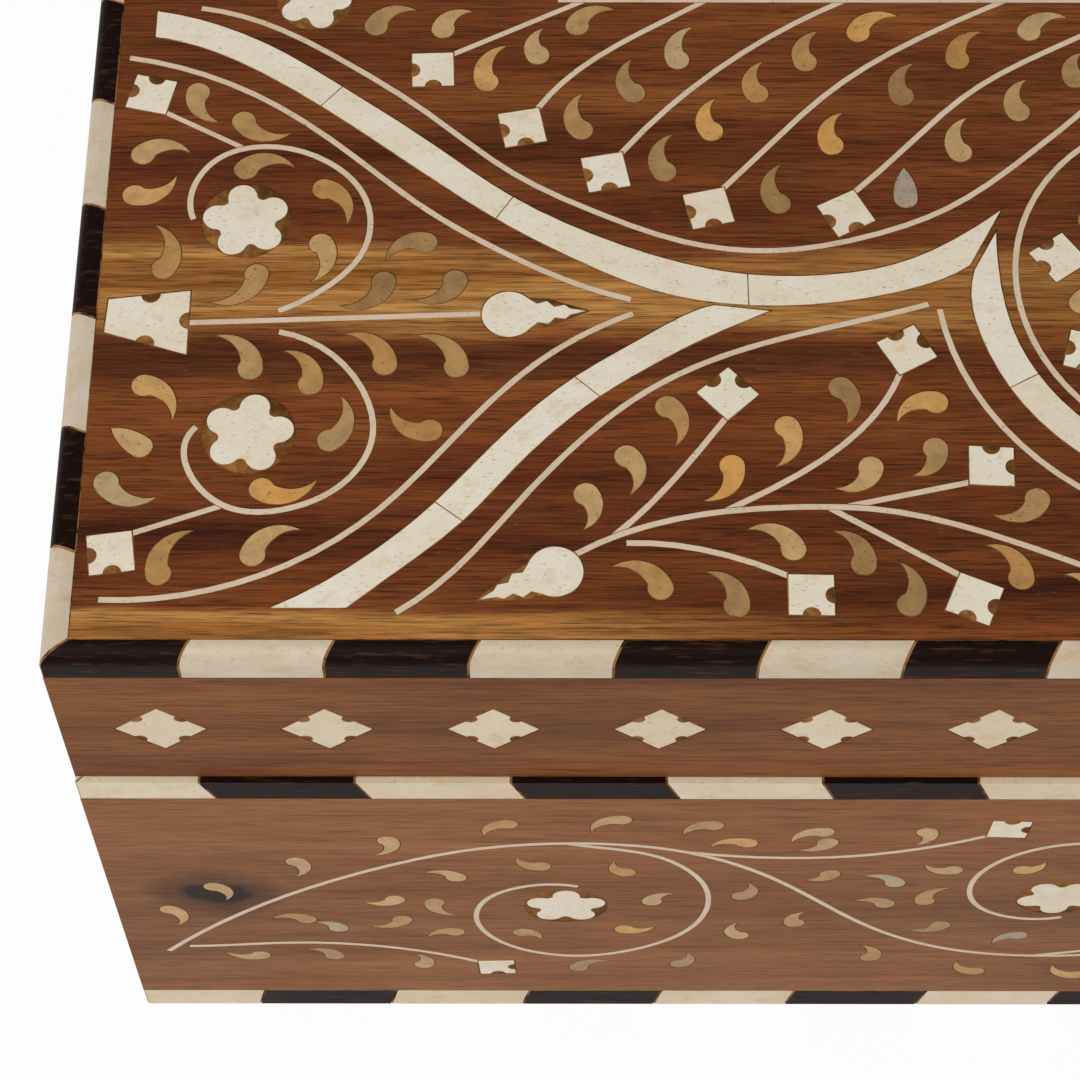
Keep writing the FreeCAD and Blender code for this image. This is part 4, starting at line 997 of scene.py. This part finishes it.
@dataclass
class Palette:
    """The finishes that the sub-assemblies share."""

    bone: bpy.types.Material
    border: bpy.types.Material
    strip: bpy.types.Material
    string: bpy.types.Material
    horn: bpy.types.Material
    ebony: bpy.types.Material
    glue: bpy.types.Material
    filler: bpy.types.Material
    base_wood: bpy.types.Material
    brass: bpy.types.Material
    screw: bpy.types.Material

    @classmethod
    def make(cls) -> "Palette":
        """Makes every shared finish once.

        Returns:
            The palette.
        """
        return cls(
            bone=BoneFinish("bone_sawn_and_waxed").build(),
            border=BoneFinish("bone_sawn_for_border", pale="#d8c9b2", cream="#c9b595",
                              stain="#bf965f").build(),
            strip=BoneFinish("bone_sawn_for_strips", pale="#ead9bd", cream="#dcc6a2",
                             stain="#c99c62").build(),
            string=BoneFinish("bone_split_into_strings", pale="#e2cdb2", cream="#d0b493",
                              canal="#9a7448").build(),
            horn=HornFinish("horn_dyed_and_waxed").build(),
            ebony=PlainFinish("ebony_sanded_and_waxed", ground="#190c08", fleck="#45281a",
                              fleck_mm=(4.0, 0.45, 0.45), fleck_range=(0.55, 0.7), roughness=0.4,
                              specular=0.06).build(),
            glue=PlainFinish("glue_stained_edge", ground="#a8794a", fleck="#4a2c15",
                             fleck_mm=(2.0, 2.0, 2.0), fleck_range=(0.5, 0.64), roughness=0.6,
                             specular=0.1).build(),
            filler=PlainFinish("sawdust_and_glue_filler", ground="#7a4d24", fleck="#9c6c36",
                               fleck_mm=(1.1, 1.1, 1.1), fleck_range=(0.42, 0.64), roughness=0.7,
                               relief_mm=0.04, specular=0.1).build(),
            base_wood=RosewoodFinish("rosewood_sawn_base", Grain.ALONG_X, BASE_WOOD, contrast=0.8,
                                     roughness=0.6).build(),
            brass=PlainFinish("brass_rolled_and_aged", ground="#9c7a3c", fleck="#6f552a",
                              fleck_mm=(2.4, 2.4, 2.4), fleck_range=(0.45, 0.65), roughness=0.36,
                              metallic=1.0).build(),
            screw=PlainFinish("brass_turned_screw", ground="#b08d4a", fleck="#84673a",
                              fleck_mm=(1.2, 1.2, 1.2), fleck_range=(0.5, 0.7), roughness=0.3,
                              metallic=1.0).build())


@dataclass
class SubAssembly:
    """Pieces that ride one body."""

    BODY: ClassVar[BodyName]

    palette: Palette

    def inlay(self, node: str, slot: str, finish: bpy.types.Material,
              chosen: tuple[ChosenTone, ...] = (), free_way: int = 0) -> None:
        """Dresses one group of inlay pieces.

        Args:
            node: the group's node.
            slot: its material slot.
            finish: the pieces' finish.
            chosen: tones given one by one.
            free_way: 1 or -1 where the pieces' outer top or bottom edge lies free, or else 0.
        """
        InlayGroup(node, self.BODY, slot, finish, self.palette.glue, chosen, free_way).build()

    def fill(self, node: str, outward: tuple[int, int, int]) -> None:
        """Fills a board's recesses round their inlay.

        Args:
            node: the board's node.
            outward: the way that the board's inlaid face looks.
        """
        GlueFiller(node, self.BODY, outward, self.palette.filler).build()


@dataclass
class BoxBody(SubAssembly):
    """The open box: four boards with their vines, the rim and base strips, and the bottom."""

    BODY: ClassVar[BodyName] = BodyName.BOX
    FRONT_KNOT: ClassVar[Knot] = Knot(-118.0, 38.6, 13.0, 11.0)

    def board_finish(self, side: Side) -> RosewoodFinish:
        """Chooses the wood of a side's board.

        Args:
            side: the side.

        Returns:
            The board's finish.
        """
        knot = self.FRONT_KNOT if side is Side.FRONT else None
        return RosewoodFinish(f"rosewood_waxed_{side.label}", side.grain, BOARD_WOOD, contrast=0.6,
                              knot=knot, roughness=0.46)

    def build(self) -> None:
        """Dresses every piece of the body."""
        for side in Side:
            dress(f"{side.label}_panel", self.board_finish(side).build())
            dress(f"{side.label}_stringing", self.palette.string)
            self.inlay(f"{side.label}_leaves", "amber_bone", self.palette.horn)
            self.inlay(f"{side.label}_buds", "bone", self.palette.bone)
            self.inlay(f"{side.label}_flowers", "bone", self.palette.bone)
            self.fill(f"{side.label}_panel", side.value)
        for place, free_way in (("rim", 1), ("base", -1)):
            self.inlay(f"{place}_bone_strip", "bone", self.palette.strip, free_way=free_way)
            self.inlay(f"{place}_ebony_strip", "ebony", self.palette.ebony, free_way=free_way)
        dress("bottom_panel", self.palette.base_wood)


@dataclass
class Lid(SubAssembly):
    """The lid: its panel with the floral inlay, the rails with their diamonds, and the border."""

    BODY: ClassVar[BodyName] = BodyName.LID
    UPWARD: ClassVar[tuple[int, int, int]] = (0, 0, 1)
    STREAKS: ClassVar[tuple[Streak, ...]] = (
        Streak(-84.6, 2.6, (-90.0, -35.0), 0.95),
        Streak(-41.5, 7.0, (-80.0, 70.0), 0.95),
        Streak(-50.9, 3.2, (-60.0, 0.0), 0.6, DARK_STREAK),
    )
    CHOSEN_LEAVES: ClassVar[tuple[ChosenTone, ...]] = (
        ChosenTone(-56.8, -64.9, 0.78),
        ChosenTone(-108.2, -68.1, 0.78),
        ChosenTone(-43.9, -21.5, 0.78),
        ChosenTone(-35.7, -29.0, 1.0),
    )

    def build(self) -> None:
        """Dresses every piece of the lid."""
        panel = RosewoodFinish("rosewood_waxed_lid", Grain.ALONG_X, LID_WOOD, contrast=0.85,
                               streaks=self.STREAKS)
        dress("lid_panel", panel.build())
        dress("lid_stringing", self.palette.string)
        self.inlay("lid_leaves", "amber_bone", self.palette.horn, self.CHOSEN_LEAVES)
        for kind in ("buds", "flowers", "tulips", "bands"):
            self.inlay(f"lid_{kind}", "bone", self.palette.bone)
        self.inlay("lid_border_bone", "bone", self.palette.border)
        self.inlay("lid_border_ebony", "ebony", self.palette.ebony)
        self.fill("lid_panel", self.UPWARD)
        for side in Side:
            rail = RosewoodFinish(f"rosewood_waxed_{side.label}_rail", side.grain, RAIL_WOOD,
                                  contrast=0.65, roughness=0.46)
            dress(f"lid_{side.label}_rail", rail.build())
            self.inlay(f"lid_{side.label}_diamonds", "bone", self.palette.strip)
            self.fill(f"lid_{side.label}_rail", side.value)


@dataclass
class Hinges:
    """The two brass butt hinges at the back."""

    palette: Palette

    def build(self) -> None:
        """Dresses leaves, pins and screws."""
        for side in ("left", "right"):
            for part in ("body_leaf", "lid_leaf", "pin"):
                dress(f"hinge_{side}_{part}", self.palette.brass)
        for node in ("hinge_body_screws", "hinge_lid_screws"):
            dress(node, self.palette.screw)


@dataclass(frozen=True)
class Studio:
    """A white floor under soft light, and the camera that looks down on the box's front.

    Lengths without a unit in their names are metres, and angles are degrees.
    """

    ambient: float = 0.33
    key_watts: float = 10.4
    key_size: float = 1.1
    key_place: Triple = (-0.55, -0.6, 1.0)
    floor_colour: str = "#f7f7f7"
    floor_white: float = 0.94
    floor_half: float = 3.0
    floor_gap_mm: float = 0.05
    floor_roughness: float = 0.9
    floor_specular: float = 0.1
    lens_mm: float = 99.12
    sensor_mm: float = 36.0
    nearest: float = 0.01
    camera_mm: Triple = (-77.36, -230.07, 382.48)
    elevation: float = 60.89
    yaw: float = -0.173
    roll: float = -0.093

    def build(self) -> None:
        """Makes floor, light and camera."""
        self.build_floor()
        self.build_light()
        self.build_camera()

    def build_floor(self) -> None:
        """Lays a plain white floor just under the box, seen as white paper that keeps a soft shadow."""
        half = self.floor_half
        corners = np.array([(-half, -half), (half, -half), (half, half), (-half, half)])
        points = np.column_stack([corners, np.full(4, -self.floor_gap_mm * MM)])
        floor = Surface(points, np.array([(0, 1, 2), (0, 2, 3)])).to_object("floor")
        material, tree, shader = new_material("floor_white_paper")
        set_inputs(shader, {"Base Color": linear(self.floor_colour), "Roughness": self.floor_roughness,
                            "Specular IOR Level": self.floor_specular})
        path = add_node(tree, "ShaderNodeLightPath")
        share = calculated(tree, "MULTIPLY", path.outputs["Is Camera Ray"], self.floor_white)
        white = add_node(tree, "ShaderNodeEmission", inputs={"Strength": 1.0})
        blend = add_node(tree, "ShaderNodeMixShader", inputs={
            0: share, 1: shader.outputs["BSDF"], 2: white.outputs["Emission"]})
        tree.links.new(blend.outputs["Shader"], tree.nodes["Material Output"].inputs["Surface"])
        floor.data.materials.append(material)

    def build_light(self) -> None:
        """Sets an even white surround and one large soft lamp above and to the left."""
        world = bpy.data.worlds.new("studio_surround")
        world.use_nodes = True
        background = world.node_tree.nodes["Background"]
        set_inputs(background, {"Color": (1.0, 1.0, 1.0, 1.0), "Strength": self.ambient})
        bpy.context.scene.world = world
        lamp = bpy.data.lights.new("softbox", "AREA")
        lamp.energy = self.key_watts
        lamp.size = self.key_size
        holder = bpy.data.objects.new("softbox", lamp)
        holder.location = self.key_place
        holder.rotation_euler = (-Vector(self.key_place)).to_track_quat("-Z", "Y").to_euler()
        bpy.context.scene.collection.objects.link(holder)

    def build_camera(self) -> None:
        """Sets the camera from its place, its elevation above the floor, its yaw and its roll."""
        down, yaw, roll = (math.radians(angle) for angle in (self.elevation, self.yaw, self.roll))
        forward = Vector((math.sin(yaw) * math.cos(down), math.cos(yaw) * math.cos(down), -math.sin(down)))
        level = Vector((math.cos(yaw), -math.sin(yaw), 0.0))
        rise = level.cross(forward)
        right = level * math.cos(roll) + rise * math.sin(roll)
        above = rise * math.cos(roll) - level * math.sin(roll)
        lens = bpy.data.cameras.new("photo_camera")
        lens.lens = self.lens_mm
        lens.sensor_width = self.sensor_mm
        lens.clip_start = self.nearest
        camera = bpy.data.objects.new("photo_camera", lens)
        turn = Matrix((right, above, -forward)).transposed().to_4x4()
        camera.matrix_world = Matrix.Translation(Vector(self.camera_mm) * MM) @ turn
        scene = bpy.context.scene
        scene.collection.objects.link(camera)
        scene.camera = camera
        scene.view_settings.view_transform = "Standard"


def main() -> None:
    """Dresses the box and sets the studio."""
    logging.basicConfig(level=logging.INFO, format="%(message)s")
    palette = Palette.make()
    BoxBody(palette).build()
    Lid(palette).build()
    Hinges(palette).build()
    Studio().build()


if __name__ == "__main__":
    main()
